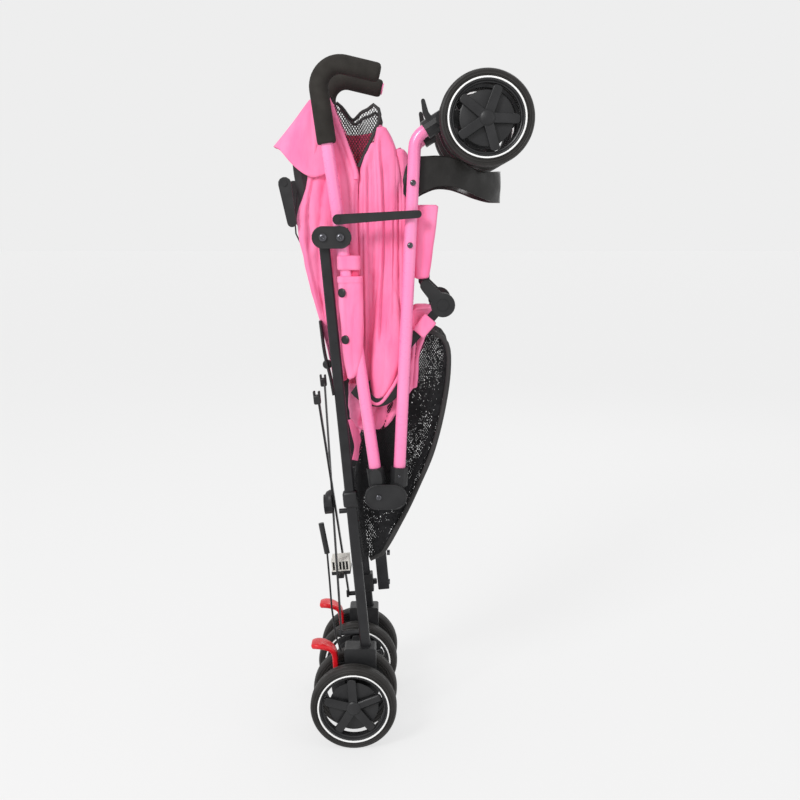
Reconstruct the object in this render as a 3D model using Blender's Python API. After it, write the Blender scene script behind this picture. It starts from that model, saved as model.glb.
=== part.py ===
"""Umbrella stroller, folded and standing on its rear wheels.

The side frames lie in two upright planes, mirrored across Y = 0. +X is the front of the stroller, +Y its
left side and +Z up. Every place in the side view is worked out from the rear axle upwards: leg, fold
pivot, handle, knee, front leg, caster. Metres throughout.
"""
from math import cos, pi, radians, sin

import bmesh
import bpy
from mathutils import Matrix, Vector

# ---------------------------------------------------------------- general fits
GAP = 0.0003                      # kept between two pieces that touch or run in each other
LANE_GAP = 0.0005                 # kept between pieces that swing past each other
ROUND_STEPS = 12                  # sides of tubes, bosses and rounded corners
RIGHT, LEFT = -1, 1               # the two side frames: -Y and +Y

# ---------------------------------------------------------------- wheels
WHEEL_RADIUS = 0.070
WHEEL_STEPS = 24
TYRE_WIDTH = 0.024
TREAD_WIDTH = 0.016
RIM_RADIUS = 0.0562               # outside of the rim, where the tyre sits
RIM_WALL = 0.006
RIM_WIDTH = 0.020
SPOKE_COUNT = 5
SPOKE_WIDTH = 0.013
SPOKE_DEPTH = 0.006
HUB_RADIUS = 0.012
HUB_CAP = 0.004                   # closed end of the hub
AXLE_RADIUS = 0.004
WHEEL_OFFSET = 0.034              # wheel centre from the side frame's plane
REAR_SPOKE_ANGLE = radians(22)
FRONT_SPOKE_ANGLE = radians(-2)

# ---------------------------------------------------------------- side frames
HALF_TRACK = 0.0885               # side frame's plane from the middle of the stroller
REAR_AXLE_X = -0.0675             # puts the middle of the whole stroller over X = 0
TUBE_RADIUS = 0.0095
TUBE_WALL = 0.0015
LEG_DEPTH = 0.016                 # flat rear leg, front to back
LEG_WIDTH = 0.012
LEG_LEAN = radians(5.22)          # backwards from upright
LEG_FOOT_FORWARD = 0.0176
LEG_FOOT_HEIGHT = 0.102           # foot above the axle
LEG_LENGTH = 0.6507               # foot to fold pivot
LEG_OVER_PIVOT = 0.009
LEG_IN_HOUSING = 0.022
PIVOT_PIN_RADIUS = 0.004

HANDLE_LEAN = radians(8.0)
HANDLE_FROM_PIVOT = 0.0264        # handle tube in front of the fold pivot
HANDLE_BELOW = 0.4086             # fold pivot's level down to the knee
HANDLE_ABOVE = 0.2191             # fold pivot's level up to the grip's bend
GRIP_BEND_RADIUS = 0.032
GRIP_TIP_ANGLE = radians(103)     # the grip's end droops below level
GRIP_TIP_LENGTH = 0.052
GRIP_RADIUS = 0.0145
GRIP_BELOW_BEND = 0.079
TUBE_PAST_GRIP = 0.003

KNEE_LEG_FORWARD = 0.0327         # front leg's socket from the knee pivot
KNEE_LEG_UP = 0.0451
FRONT_LEG_LEAN = radians(2.64)    # forwards
FRONT_LEG_LENGTH = 0.493
FRONT_BEND_RADIUS = 0.030
STEM_ANGLE = radians(57.5)        # caster stem from upright, folded
STEM_LENGTH = 0.024
CASTER_DROP = 0.0615              # stem's end to the front axle, along the stem
CASTER_TRAIL = 0.0356

SOCKET_RADIUS = 0.014
SOCKET_START = 0.0155             # handle socket above the knee pivot
SOCKET_LENGTH = 0.029
SOCKET_FLOOR = 0.0032
KNEE_EYE_RADIUS = 0.011
KNEE_PIN_RADIUS = 0.005
KNEE_HALF_WIDTH = 0.0115
COVER_RADIUS = 0.0205
COVER_THICKNESS = 0.0057

# ---------------------------------------------------------------- seat, calf rest, hood and back
RAIL_UP_HANDLE = 0.1612           # seat rail's pivot above the knee, along the handle
RAIL_ANGLE = radians(41.1)
RAIL_LENGTH = 0.1867
RAIL_THICKNESS = 0.005
PLATE_THICKNESS = 0.0077          # calf hinges and hood brackets
BOSS_RADIUS = 0.005
CALF_DISC_RADIUS = 0.019
CALF_BUTTON_RADIUS = 0.0096
CALF_BUTTON_THICKNESS = 0.0033
CALF_BUTTON_TRAVEL = 0.0015
CALF_ARM_LENGTH = 0.040
CALF_ARM_ANGLE = radians(-42)
CALF_LENGTH = 0.117               # elbow to the top of the calf rest
CALF_ANGLE = radians(0.5)
RECLINE_PLATE_THICKNESS = 0.0055
FABRIC_GAP = 0.0015               # soft goods to the rails beside them

# ---------------------------------------------------------------- rear brace
BRACE_LENGTH = 0.428
BRACE_WIDTH = 0.010
BRACE_THICKNESS = 0.003
BRACE_FOOT = 0.012                # lower pivots above the leg's foot
BRACE_STANDOFF = 0.034            # front bar behind the leg's axis
BRACE_KNOB_RADIUS = 0.017
BRACE_KNOB_DEPTH = 0.014
PEDAL_PIN_RADIUS = 0.0025


def polar(angle):
    """Unit direction in the side view, measured from upright towards the front."""
    return Vector((sin(angle), 0, cos(angle)))


# ---------------------------------------------------------------- places in the side view
FORWARD = Vector((1, 0, 0))
UP = Vector((0, 0, 1))
REAR_AXLE = Vector((REAR_AXLE_X, 0, WHEEL_RADIUS))
LEG_UP = polar(-LEG_LEAN)
LEG_NORMAL = polar(pi / 2 - LEG_LEAN)
LEG_FOOT = REAR_AXLE + FORWARD * LEG_FOOT_FORWARD + UP * LEG_FOOT_HEIGHT
FOLD_PIVOT = LEG_FOOT + LEG_UP * LEG_LENGTH
HANDLE_UP = polar(-HANDLE_LEAN)
HANDLE_SCREW = FOLD_PIVOT + FORWARD * HANDLE_FROM_PIVOT
KNEE = HANDLE_SCREW - HANDLE_UP * HANDLE_BELOW
GRIP_BEND = HANDLE_SCREW + HANDLE_UP * HANDLE_ABOVE
FRONT_UP = polar(FRONT_LEG_LEAN)
FRONT_FOOT = KNEE + FORWARD * KNEE_LEG_FORWARD + UP * KNEE_LEG_UP
FRONT_BEND = FRONT_FOOT + FRONT_UP * FRONT_LEG_LENGTH
STEM = polar(STEM_ANGLE)
STEM_SIDE = polar(STEM_ANGLE + pi / 2)
RAIL_PIVOT = KNEE + HANDLE_UP * RAIL_UP_HANDLE
RAIL_DIRECTION = polar(RAIL_ANGLE)
CALF_PIVOT = RAIL_PIVOT + RAIL_DIRECTION * RAIL_LENGTH
CALF_ELBOW = CALF_PIVOT + polar(CALF_ARM_ANGLE) * CALF_ARM_LENGTH
CALF_UP = polar(CALF_ANGLE)

# ---------------------------------------------------------------- lanes across the stroller
TUBE_INNER = HALF_TRACK - TUBE_RADIUS
TUBE_OUTER = HALF_TRACK + TUBE_RADIUS
PLATE_OUTER = TUBE_INNER - LANE_GAP
PLATE_INNER = PLATE_OUTER - PLATE_THICKNESS
RAIL_OUTER = PLATE_INNER - GAP
RAIL_INNER = RAIL_OUTER - RAIL_THICKNESS
FABRIC_HALF = RAIL_INNER - FABRIC_GAP
BASKET_HALF = FABRIC_HALF - 0.004
COVER_INNER = HALF_TRACK + SOCKET_RADIUS + 0.0008

PALETTE = {
    "black_metal": ((0.028, 0.028, 0.031), 0.42, 0.6),
    "black_plastic": ((0.022, 0.022, 0.024), 0.50, 0.0),
    "pink_metal": ((0.93, 0.30, 0.49), 0.35, 0.2),
    "foam": ((0.030, 0.029, 0.028), 0.85, 0.0),
    "tyre": ((0.026, 0.024, 0.023), 0.75, 0.0),
    "red_plastic": ((0.62, 0.012, 0.022), 0.40, 0.0),
    "steel": ((0.55, 0.55, 0.56), 0.30, 1.0),
    "pink_fabric": ((0.92, 0.14, 0.33), 0.85, 0.0),
    "vinyl": ((0.030, 0.029, 0.028), 0.45, 0.0),
    "mesh_fabric": ((0.018, 0.018, 0.019), 0.80, 0.0),
}


def clear_scene():
    for item in list(bpy.data.objects):
        bpy.data.objects.remove(item, do_unlink=True)


def finish_material(name):
    """One Principled material for each finish in the palette."""
    if name in bpy.data.materials:
        return bpy.data.materials[name]
    colour, roughness, metallic = PALETTE[name]
    material = bpy.data.materials.new(name)
    material.use_nodes = True
    shader = material.node_tree.nodes["Principled BSDF"]
    shader.inputs["Base Color"].default_value = (*colour, 1.0)
    shader.inputs["Roughness"].default_value = roughness
    shader.inputs["Metallic"].default_value = metallic
    material.diffuse_color = (*colour, 1.0)
    return material


# ---------------------------------------------------------------- solids
def circle_points(centre, radius, steps=ROUND_STEPS):
    """Points around a circle in the side view."""
    points = []
    for step in range(steps):
        points.append(centre + polar(2 * pi * (step + 0.5) / steps) * radius)
    return points


def hull_outline(circles, steps=ROUND_STEPS):
    """The outline of a belt stretched round several circles, each given as (centre, radius)."""
    points = []
    for centre, radius in circles:
        points += [(p.x, p.z) for p in circle_points(centre, radius, steps)]
    points = sorted(set(points))

    def half(ordered):
        chain = []
        for point in ordered:
            while len(chain) > 1:
                ax, az = chain[-2]
                bx, bz = chain[-1]
                if (bx - ax) * (point[1] - az) - (bz - az) * (point[0] - ax) > 1e-12:
                    break
                chain.pop()
            chain.append(point)
        return chain[:-1]

    return [Vector((x, 0, z)) for x, z in half(points) + half(points[::-1])]


def prism(outline, low, high):
    """An outline in the side view, made solid between two places across the stroller."""
    low, high = min(low, high), max(low, high)
    body = bmesh.new()
    near = [body.verts.new((p.x, low, p.z)) for p in outline]
    face = body.faces.new(near)
    grown = bmesh.ops.extrude_face_region(body, geom=[face])
    moved = [item for item in grown["geom"] if isinstance(item, bmesh.types.BMVert)]
    bmesh.ops.translate(body, verts=moved, vec=(0, high - low, 0))
    bmesh.ops.recalc_face_normals(body, faces=body.faces)
    return body


def turned(profile, steps, start_angle=0.0):
    """A closed profile of (across, radius) points, turned about the Y axis."""
    body = bmesh.new()
    rings = []
    for step in range(steps):
        direction = polar(start_angle + 2 * pi * step / steps)
        rings.append([body.verts.new(direction * radius + Vector((0, across, 0))) for across, radius in profile])
    count = len(profile)
    for step in range(steps):
        ring, following = rings[step], rings[(step + 1) % steps]
        for index in range(count):
            other = (index + 1) % count
            body.faces.new((ring[index], ring[other], following[other], following[index]))
    bmesh.ops.recalc_face_normals(body, faces=body.faces)
    return body


def rod(start, end, radius, steps=ROUND_STEPS):
    """A round bar between two points."""
    body = bmesh.new()
    span = end - start
    middle = (start + end) / 2
    turn = span.to_track_quat("Z", "Y").to_matrix().to_4x4()
    bmesh.ops.create_cone(
        body, cap_ends=True, segments=steps, radius1=radius, radius2=radius, depth=span.length,
        matrix=Matrix.Translation(middle) @ turn,
    )
    return body


def cross_rod(centre, low, high, radius, steps=ROUND_STEPS):
    """A round bar across the stroller."""
    return rod(Vector((centre.x, low, centre.z)), Vector((centre.x, high, centre.z)), radius, steps)


def block(centre, size, turn=None):
    """A box with its size given along its own axes."""
    body = bmesh.new()
    matrix = Matrix.Translation(centre)
    if turn is not None:
        matrix = matrix @ turn
    bmesh.ops.create_cube(body, size=1.0, matrix=matrix @ Matrix.Diagonal((*size, 1.0)))
    return body


def round_section(radius, steps=ROUND_STEPS):
    return [(radius * cos(2 * pi * k / steps), radius * sin(2 * pi * k / steps)) for k in range(steps)]


def flat_section(depth, width, chamfer):
    """A rectangle with cut corners, front-to-back by across."""
    a, b = depth / 2, width / 2
    return [
        (a, -b + chamfer), (a, b - chamfer), (a - chamfer, b), (-a + chamfer, b),
        (-a, b - chamfer), (-a, -b + chamfer), (-a + chamfer, -b), (a - chamfer, -b),
    ]


def swept(path, outer, inner):
    """A hollow section carried along a path in the side view, open at both ends."""
    body = bmesh.new()
    outer_rings, inner_rings = [], []
    for index, point in enumerate(path):
        before = path[max(index - 1, 0)]
        after = path[min(index + 1, len(path) - 1)]
        along = (after - before).normalized()
        front = Vector((along.z, 0, -along.x))
        for section, rings in ((outer, outer_rings), (inner, inner_rings)):
            rings.append([body.verts.new(point + front * a + Vector((0, b, 0))) for a, b in section])
    count = len(outer)
    for k in range(count):
        other = (k + 1) % count
        for index in range(len(path) - 1):
            for rings in (outer_rings, inner_rings):
                lower, upper = rings[index], rings[index + 1]
                body.faces.new((lower[k], lower[other], upper[other], upper[k]))
        for end in (0, -1):
            ring, hole = outer_rings[end], inner_rings[end]
            body.faces.new((ring[k], ring[other], hole[other], hole[k]))
    bmesh.ops.recalc_face_normals(body, faces=body.faces)
    return body


def arc(start, direction_angle, end_angle, radius, steps):
    """Points round a bend that turns forwards, starting along direction_angle."""
    centre = start + polar(direction_angle + pi / 2) * radius
    points = []
    for step in range(1, steps + 1):
        angle = direction_angle + (end_angle - direction_angle) * step / steps
        points.append(centre - polar(angle + pi / 2) * radius)
    return points


def mesh_object(body, name):
    mesh = bpy.data.meshes.new(name)
    body.to_mesh(mesh)
    body.free()
    item = bpy.data.objects.new(name, mesh)
    bpy.context.scene.collection.objects.link(item)
    return item


def combined(base, others, operation):
    """Join or cut solids with exact Booleans and return the one solid that is left."""
    target = mesh_object(base, "target")
    helpers = []
    for other in others:
        helper = mesh_object(other, "helper")
        modifier = target.modifiers.new("boolean", "BOOLEAN")
        modifier.operation = operation
        modifier.object = helper
        helpers.append(helper)
    bpy.context.view_layer.update()
    mesh = bpy.data.meshes.new_from_object(target.evaluated_get(bpy.context.evaluated_depsgraph_get()))
    result = bmesh.new()
    result.from_mesh(mesh)
    bmesh.ops.remove_doubles(result, verts=result.verts, dist=1e-6)
    slits = [edge for edge in result.edges if edge.is_boundary]
    bmesh.ops.holes_fill(result, edges=slits, sides=4)
    for item in [target, *helpers]:
        bpy.data.objects.remove(item, do_unlink=True)
    return result


def joined(base, *others):
    return combined(base, others, "UNION")


def cut(base, *others):
    return combined(base, others, "DIFFERENCE")


def add_part(name, body, finish, origin=None):
    """Link a finished solid as one named object whose origin lies on its joint's axis."""
    if origin is None:
        origin = Vector((0, 0, 0))
    bmesh.ops.translate(body, verts=body.verts, vec=-origin)
    item = mesh_object(body, name)
    item.location = origin
    item.data.materials.append(finish_material(finish))
    item.data.shade_smooth()
    item.data.set_sharp_from_angle(angle=radians(35))
    return item


def side_name(side):
    return "right" if side == RIGHT else "left"


def on_side(point, side, across=HALF_TRACK):
    return Vector((point.x, side * across, point.z))


# ---------------------------------------------------------------- wheels
TRUE_SIZE = 1 / cos(pi / WHEEL_STEPS)      # brings the middles of the facets onto the true radius
FIRST_FACET = pi / WHEEL_STEPS


def rim_solid(spoke_angle):
    """Rim, spokes and hub about the origin, outer side towards +Y."""
    half_rim = RIM_WIDTH / 2
    inside = (RIM_RADIUS - RIM_WALL) * TRUE_SIZE
    outside = RIM_RADIUS * TRUE_SIZE
    ring = turned(
        [(-half_rim, inside), (half_rim, inside), (half_rim, outside), (-half_rim, outside)],
        WHEEL_STEPS, FIRST_FACET)
    middle = Vector((0, 0, 0))
    hub = cross_rod(middle, -half_rim, half_rim + 0.001, HUB_RADIUS)
    reach = RIM_RADIUS - RIM_WALL / 2
    spokes = []
    for index in range(SPOKE_COUNT):
        turn = Matrix.Rotation(-spoke_angle - 2 * pi * index / SPOKE_COUNT, 4, "Y")
        place = turn @ Vector((reach / 2, half_rim - SPOKE_DEPTH, 0))
        spokes.append(block(place, (reach, SPOKE_DEPTH, SPOKE_WIDTH), turn))
    bore = cross_rod(middle, -half_rim - 0.001, half_rim + 0.001 - HUB_CAP, AXLE_RADIUS + GAP)
    return cut(joined(ring, hub, *spokes), bore)


def tyre_solid():
    """A tyre with a flat tread, seated round the rim."""
    seat = RIM_RADIUS * TRUE_SIZE + GAP
    tread = WHEEL_RADIUS * TRUE_SIZE
    shoulder = tread - 0.007
    half_tyre, half_tread = TYRE_WIDTH / 2, TREAD_WIDTH / 2
    return turned([
        (-half_tyre, seat), (half_tyre, seat), (half_tyre, shoulder), (half_tread, tread),
        (-half_tread, tread), (-half_tyre, shoulder),
    ], WHEEL_STEPS, FIRST_FACET)


def add_wheels(end, axle, spoke_angle):
    """Four wheels on one pair of axles: an outer and an inner one for each side frame."""
    rim, tyre = rim_solid(pi - spoke_angle), tyre_solid()
    for side in (RIGHT, LEFT):
        for place, sign in (("outer", 1), ("inner", -1)):
            centre = on_side(axle, side, HALF_TRACK + sign * WHEEL_OFFSET)
            facing = Matrix.Identity(4) if side == sign else Matrix.Rotation(pi, 4, "Z")
            for piece, body, finish in (("rim", rim, "black_plastic"), ("tyre", tyre, "tyre")):
                copy = body.copy()
                bmesh.ops.transform(copy, matrix=Matrix.Translation(centre) @ facing, verts=copy.verts)
                add_part(f"{end}_{piece}_{side_name(side)}_{place}", copy, finish, centre)


# ---------------------------------------------------------------- rear frame
def add_rear_leg(side):
    low = LEG_FOOT - LEG_UP * LEG_IN_HOUSING
    high = FOLD_PIVOT + LEG_UP * LEG_OVER_PIVOT
    leg = swept(
        [on_side(low, side), on_side(high, side)],
        flat_section(LEG_DEPTH, LEG_WIDTH, 0.002),
        flat_section(LEG_DEPTH - 2 * TUBE_WALL, LEG_WIDTH - 2 * TUBE_WALL, 0.0012),
    )
    hole = cross_rod(
        FOLD_PIVOT, side * HALF_TRACK - LEG_WIDTH, side * HALF_TRACK + LEG_WIDTH, PIVOT_PIN_RADIUS + GAP)
    add_part(f"rear_leg_{side_name(side)}", cut(leg, hole), "black_metal", on_side(FOLD_PIVOT, side))


HOUSING_HALF = WHEEL_OFFSET - TYRE_WIDTH / 2 - 0.005
HOUSING_BACK = 0.0155             # behind the rear axle
HOUSING_FRONT = 0.036
HOUSING_TOP = 0.090               # above the axle
HOUSING_NECK = 0.050
BRAKE_BACK = 0.0295               # pedal's pivot behind and above the axle
BRAKE_UP = 0.048
BRAKE_EYE_RADIUS = 0.0065
BRAKE_HALF_WIDTH = 0.009
PAD_HALF_WIDTH = 0.017
BRAKE_PIVOT = REAR_AXLE - FORWARD * BRAKE_BACK + UP * BRAKE_UP


def clevis(pivot, root, side, half_width, thickness, eye_radius, root_radius, pin_radius):
    """Two ears and a pin that hold a lever between them, reaching back to the piece they grow from."""
    pieces = []
    for sign in (-1, 1):
        near = half_width + LANE_GAP
        middle = side * HALF_TRACK
        pieces.append(prism(
            hull_outline([(pivot, eye_radius), (root, root_radius)]),
            middle + sign * near, middle + sign * (near + thickness)))
    reach = half_width + LANE_GAP + thickness / 2
    pieces.append(cross_rod(pivot, side * HALF_TRACK - reach, side * HALF_TRACK + reach, pin_radius))
    return pieces


def add_axle_housing(side):
    corners = [
        (REAR_AXLE, 0.0145),
        (REAR_AXLE + FORWARD * (0.004 - HOUSING_BACK) + UP * HOUSING_NECK, 0.004),
        (REAR_AXLE + FORWARD * (0.004 - HOUSING_BACK) + UP * (HOUSING_TOP - 0.004), 0.004),
        (REAR_AXLE + FORWARD * (HOUSING_FRONT - 0.004) + UP * (HOUSING_TOP - 0.004), 0.004),
        (REAR_AXLE + FORWARD * (HOUSING_FRONT - 0.004) + UP * HOUSING_NECK, 0.004),
    ]
    middle = side * HALF_TRACK
    shell = prism(hull_outline(corners, 12), middle - HOUSING_HALF, middle + HOUSING_HALF)
    ears = clevis(
        BRAKE_PIVOT, REAR_AXLE + UP * BRAKE_UP, side, BRAKE_HALF_WIDTH, 0.004, 0.005, 0.007, PEDAL_PIN_RADIUS)
    turn = Matrix.Rotation(-LEG_LEAN, 4, "Y")
    pocket_low = LEG_FOOT - LEG_UP * (LEG_IN_HOUSING + GAP)
    pocket_length = LEG_IN_HOUSING + 0.03
    pocket = block(
        on_side(pocket_low + LEG_UP * pocket_length / 2, side),
        (LEG_DEPTH + 2 * GAP, LEG_WIDTH + 2 * GAP, pocket_length), turn)
    bore = cross_rod(REAR_AXLE, middle - 0.03, middle + 0.03, AXLE_RADIUS + GAP)
    housing = cut(joined(shell, *ears), pocket, bore)
    add_part(f"axle_housing_{side_name(side)}", housing, "black_plastic", on_side(REAR_AXLE, side))


def axle_reach():
    """Half the length of an axle, ending just short of the closed hub ends."""
    return WHEEL_OFFSET + RIM_WIDTH / 2 + 0.001 - HUB_CAP - LANE_GAP


def add_rear_axle(side):
    middle = side * HALF_TRACK
    axle = cross_rod(REAR_AXLE, middle - axle_reach(), middle + axle_reach(), AXLE_RADIUS)
    add_part(f"rear_axle_{side_name(side)}", axle, "steel", on_side(REAR_AXLE, side))


def add_brake_pedal(side):
    middle = side * HALF_TRACK
    heel = BRAKE_PIVOT + Vector((-0.020, 0, 0.028))
    toe = BRAKE_PIVOT + Vector((-0.043, 0, 0.043))
    arm = prism(
        hull_outline([(BRAKE_PIVOT, BRAKE_EYE_RADIUS), (heel, 0.004)]),
        middle - BRAKE_HALF_WIDTH, middle + BRAKE_HALF_WIDTH)
    pad = prism(hull_outline([(heel, 0.0045), (toe, 0.003)]), middle - PAD_HALF_WIDTH, middle + PAD_HALF_WIDTH)
    bore = cross_rod(BRAKE_PIVOT, middle - 0.02, middle + 0.02, PEDAL_PIN_RADIUS + GAP)
    pedal = cut(joined(arm, pad), bore)
    add_part(f"brake_pedal_{side_name(side)}", pedal, "red_plastic", on_side(BRAKE_PIVOT, side))


def brace_point(side, across, along, behind):
    """A place behind the rear legs: across the stroller, up the leg from the lower pivots, and behind it."""
    foot = LEG_FOOT + LEG_UP * (BRACE_FOOT + along) - LEG_NORMAL * behind
    return Vector((foot.x, side * across, foot.z))


def add_brace_bar(side):
    """One bar of the cross brace, from its own leg's foot to the other leg."""
    behind = BRACE_STANDOFF if side == LEFT else BRACE_STANDOFF + BRACE_THICKNESS + LANE_GAP
    rise = (BRACE_LENGTH ** 2 - (2 * HALF_TRACK) ** 2) ** 0.5
    low = brace_point(side, HALF_TRACK, 0, behind)
    high = brace_point(side, -HALF_TRACK, rise, behind)
    along = (high - low).normalized()
    across = along.cross(LEG_NORMAL).normalized()
    turn = Matrix((across, LEG_NORMAL, along)).transposed().to_4x4()
    bar = block((low + high) / 2, (BRACE_WIDTH, BRACE_THICKNESS, BRACE_LENGTH), turn)
    stand = rod(low - LEG_NORMAL * 0.002, low + LEG_NORMAL * (behind - LEG_DEPTH / 2 - GAP), 0.004, 12)
    ends = [
        stand,
        rod(low - LEG_NORMAL * 0.004, low, 0.0065, 12),
        rod(high - LEG_NORMAL * 0.005, high + LEG_NORMAL * 0.0008, 0.0065, 12),
    ]
    if side == RIGHT:
        middle = (low + high) / 2
        ends.append(rod(middle - LEG_NORMAL * BRACE_KNOB_DEPTH, middle, BRACE_KNOB_RADIUS))
    add_part(f"brace_bar_{side_name(side)}", joined(bar, *ends), "black_metal", low)


LOCK_HEIGHT = 0.087               # foot lock above the brace's lower pivots, up the leg
LOCK_SIZE = Vector((0.031, 0.040, 0.024))


def add_lock_pedal():
    """The foot lock: a ribbed block between the lower halves of the brace, on an ear beside the right bar."""
    centre = brace_point(RIGHT, 0, LOCK_HEIGHT, BRACE_STANDOFF)
    turn = Matrix.Rotation(-LEG_LEAN, 4, "Y")
    body = block(centre, LOCK_SIZE, turn)
    bar_y = -HALF_TRACK + 2 * HALF_TRACK * LOCK_HEIGHT / (BRACE_LENGTH ** 2 - (2 * HALF_TRACK) ** 2) ** 0.5
    ear_end = bar_y + BRACE_WIDTH * 0.8 + 0.001
    ear_middle = (ear_end - LOCK_SIZE.y / 2 + 0.002) / 2
    ear = block(
        Vector((centre.x, ear_middle, centre.z)), (0.012, abs(ear_end + LOCK_SIZE.y / 2 - 0.002), 0.010), turn)
    slots = []
    for index in range(4):
        offset = (index - 1.5) * 0.0065
        slots.append(block(
            centre + LEG_NORMAL * offset - Vector((0, LOCK_SIZE.y / 2, 0)), (0.003, 0.006, 0.016), turn))
    add_part("lock_pedal", cut(joined(body, ear), *slots), "black_plastic", centre)


# ---------------------------------------------------------------- handle
def grip_path():
    """The handle's top: from the start of the foam, round the bend, to the end of the foam."""
    points = [GRIP_BEND - HANDLE_UP * GRIP_BELOW_BEND, GRIP_BEND]
    points += arc(GRIP_BEND, -HANDLE_LEAN, GRIP_TIP_ANGLE, GRIP_BEND_RADIUS, 6)
    points.append(points[-1] + polar(GRIP_TIP_ANGLE) * GRIP_TIP_LENGTH)
    return points


def add_handle(side):
    bottom = KNEE + HANDLE_UP * (SOCKET_START + SOCKET_FLOOR + GAP)
    top = grip_path()
    tip = top[-1] + polar(GRIP_TIP_ANGLE) * TUBE_PAST_GRIP
    tube = swept(
        [on_side(p, side) for p in [bottom, *top[1:-1], tip]],
        round_section(TUBE_RADIUS), round_section(TUBE_RADIUS - TUBE_WALL))
    add_part(f"handle_tube_{side_name(side)}", tube, "pink_metal", on_side(FOLD_PIVOT, side))
    grip = swept(
        [on_side(p, side) for p in top], round_section(GRIP_RADIUS), round_section(TUBE_RADIUS + GAP))
    add_part(f"handle_grip_{side_name(side)}", grip, "foam", on_side(FOLD_PIVOT, side))


BRACKET_RADIUS = 0.017
BRACKET_THICKNESS = 0.007
COLLAR_RADIUS = 0.013
COLLAR_HALF = 0.013


def add_pivot_bracket(side):
    """The oval bracket: a collar round the handle tube, an outer plate and the pin of the fold pivot."""
    inner = TUBE_OUTER + LANE_GAP
    outer = inner + BRACKET_THICKNESS
    plate = prism(
        hull_outline([(FOLD_PIVOT, BRACKET_RADIUS), (HANDLE_SCREW, BRACKET_RADIUS)], 20), side * inner, side * outer)
    low = on_side(HANDLE_SCREW - HANDLE_UP * COLLAR_HALF, side)
    high = on_side(HANDLE_SCREW + HANDLE_UP * COLLAR_HALF, side)
    collar = rod(low, high, COLLAR_RADIUS)
    pin = cross_rod(FOLD_PIVOT, side * (HALF_TRACK - LEG_WIDTH / 2 - 0.0015), side * (inner + 0.003), PIVOT_PIN_RADIUS)
    heads = [
        cross_rod(place, side * (outer - 0.002), side * (outer + 0.0018), 0.006, 12)
        for place in (FOLD_PIVOT, HANDLE_SCREW)
    ]
    bore = rod(low - HANDLE_UP * 0.01, high + HANDLE_UP * 0.01, TUBE_RADIUS + GAP)
    bracket = cut(joined(plate, collar, pin, *heads), bore)
    add_part(f"pivot_bracket_{side_name(side)}", bracket, "black_plastic", on_side(FOLD_PIVOT, side))


def add_knee(side):
    """Upper half: handle socket, cover plate and pin. Lower half: eye on the pin and front leg socket."""
    low = on_side(KNEE + HANDLE_UP * SOCKET_START, side)
    high = low + HANDLE_UP * SOCKET_LENGTH
    socket = rod(low, high, SOCKET_RADIUS)
    cover_front = KNEE + FORWARD * 0.024
    cover_back = KNEE - FORWARD * 0.002
    cover = prism(
        hull_outline([(cover_back, COVER_RADIUS), (cover_front, COVER_RADIUS)], 20),
        side * COVER_INNER, side * (COVER_INNER + COVER_THICKNESS))
    web = prism(
        hull_outline([(KNEE + HANDLE_UP * (SOCKET_START + 0.010), 0.009), (KNEE + HANDLE_UP * 0.036, 0.009)]),
        side * (HALF_TRACK + KNEE_HALF_WIDTH + LANE_GAP), side * (COVER_INNER + 0.002))
    pin = cross_rod(
        KNEE, side * (HALF_TRACK - KNEE_HALF_WIDTH - 0.001), side * (COVER_INNER + 0.002), KNEE_PIN_RADIUS)
    bore = rod(low + HANDLE_UP * SOCKET_FLOOR, high + HANDLE_UP * 0.01, TUBE_RADIUS + GAP)
    upper = cut(joined(socket, web, cover, pin), bore)
    add_part(f"knee_upper_{side_name(side)}", upper, "black_plastic", on_side(KNEE, side))

    socket_low = on_side(FRONT_FOOT - FRONT_UP * 0.030, side)
    socket_high = on_side(FRONT_FOOT, side)
    leg_socket = rod(socket_low, socket_high, SOCKET_RADIUS)
    arm = prism(
        hull_outline([(KNEE, KNEE_EYE_RADIUS), (FRONT_FOOT - FRONT_UP * 0.0355, 0.010)]),
        side * HALF_TRACK - KNEE_HALF_WIDTH, side * HALF_TRACK + KNEE_HALF_WIDTH)
    leg_bore = rod(socket_low + FRONT_UP * SOCKET_FLOOR, socket_high + FRONT_UP * 0.01, TUBE_RADIUS + GAP)
    pin_bore = cross_rod(KNEE, side * HALF_TRACK - 0.02, side * HALF_TRACK + 0.02, KNEE_PIN_RADIUS + GAP)
    lower = cut(joined(leg_socket, arm), leg_bore, pin_bore)
    add_part(f"knee_lower_{side_name(side)}", lower, "black_plastic", on_side(KNEE, side))


# ---------------------------------------------------------------- front leg and caster
STEM_START = arc(FRONT_BEND, FRONT_LEG_LEAN, STEM_ANGLE, FRONT_BEND_RADIUS, 4)[-1]
STEM_END = STEM_START + STEM * STEM_LENGTH
FRONT_AXLE = STEM_END + STEM * CASTER_DROP + STEM_SIDE * CASTER_TRAIL
BARREL_RADIUS = 0.014
BARREL_LENGTH = 0.022
FORK_HALF = 0.014
LEVER_HALF = 0.0045
LEVER_PIVOT = STEM_END - STEM * 0.008 - STEM_SIDE * (BARREL_RADIUS + 0.0065)


def add_front_leg(side):
    bottom = FRONT_FOOT - FRONT_UP * (0.030 - SOCKET_FLOOR - GAP)
    path = [bottom, FRONT_BEND, *arc(FRONT_BEND, FRONT_LEG_LEAN, STEM_ANGLE, FRONT_BEND_RADIUS, 4), STEM_END]
    tube = swept(
        [on_side(p, side) for p in path], round_section(TUBE_RADIUS), round_section(TUBE_RADIUS - TUBE_WALL))
    rivets = []
    for along in (0.348, 0.441):
        place = FRONT_FOOT + FRONT_UP * along
        rivets.append(cross_rod(place, side * (TUBE_OUTER - 0.001), side * (TUBE_OUTER + 0.0013), 0.0035, 8))
    add_part(f"front_leg_{side_name(side)}", joined(tube, *rivets), "pink_metal", on_side(KNEE, side))


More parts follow.
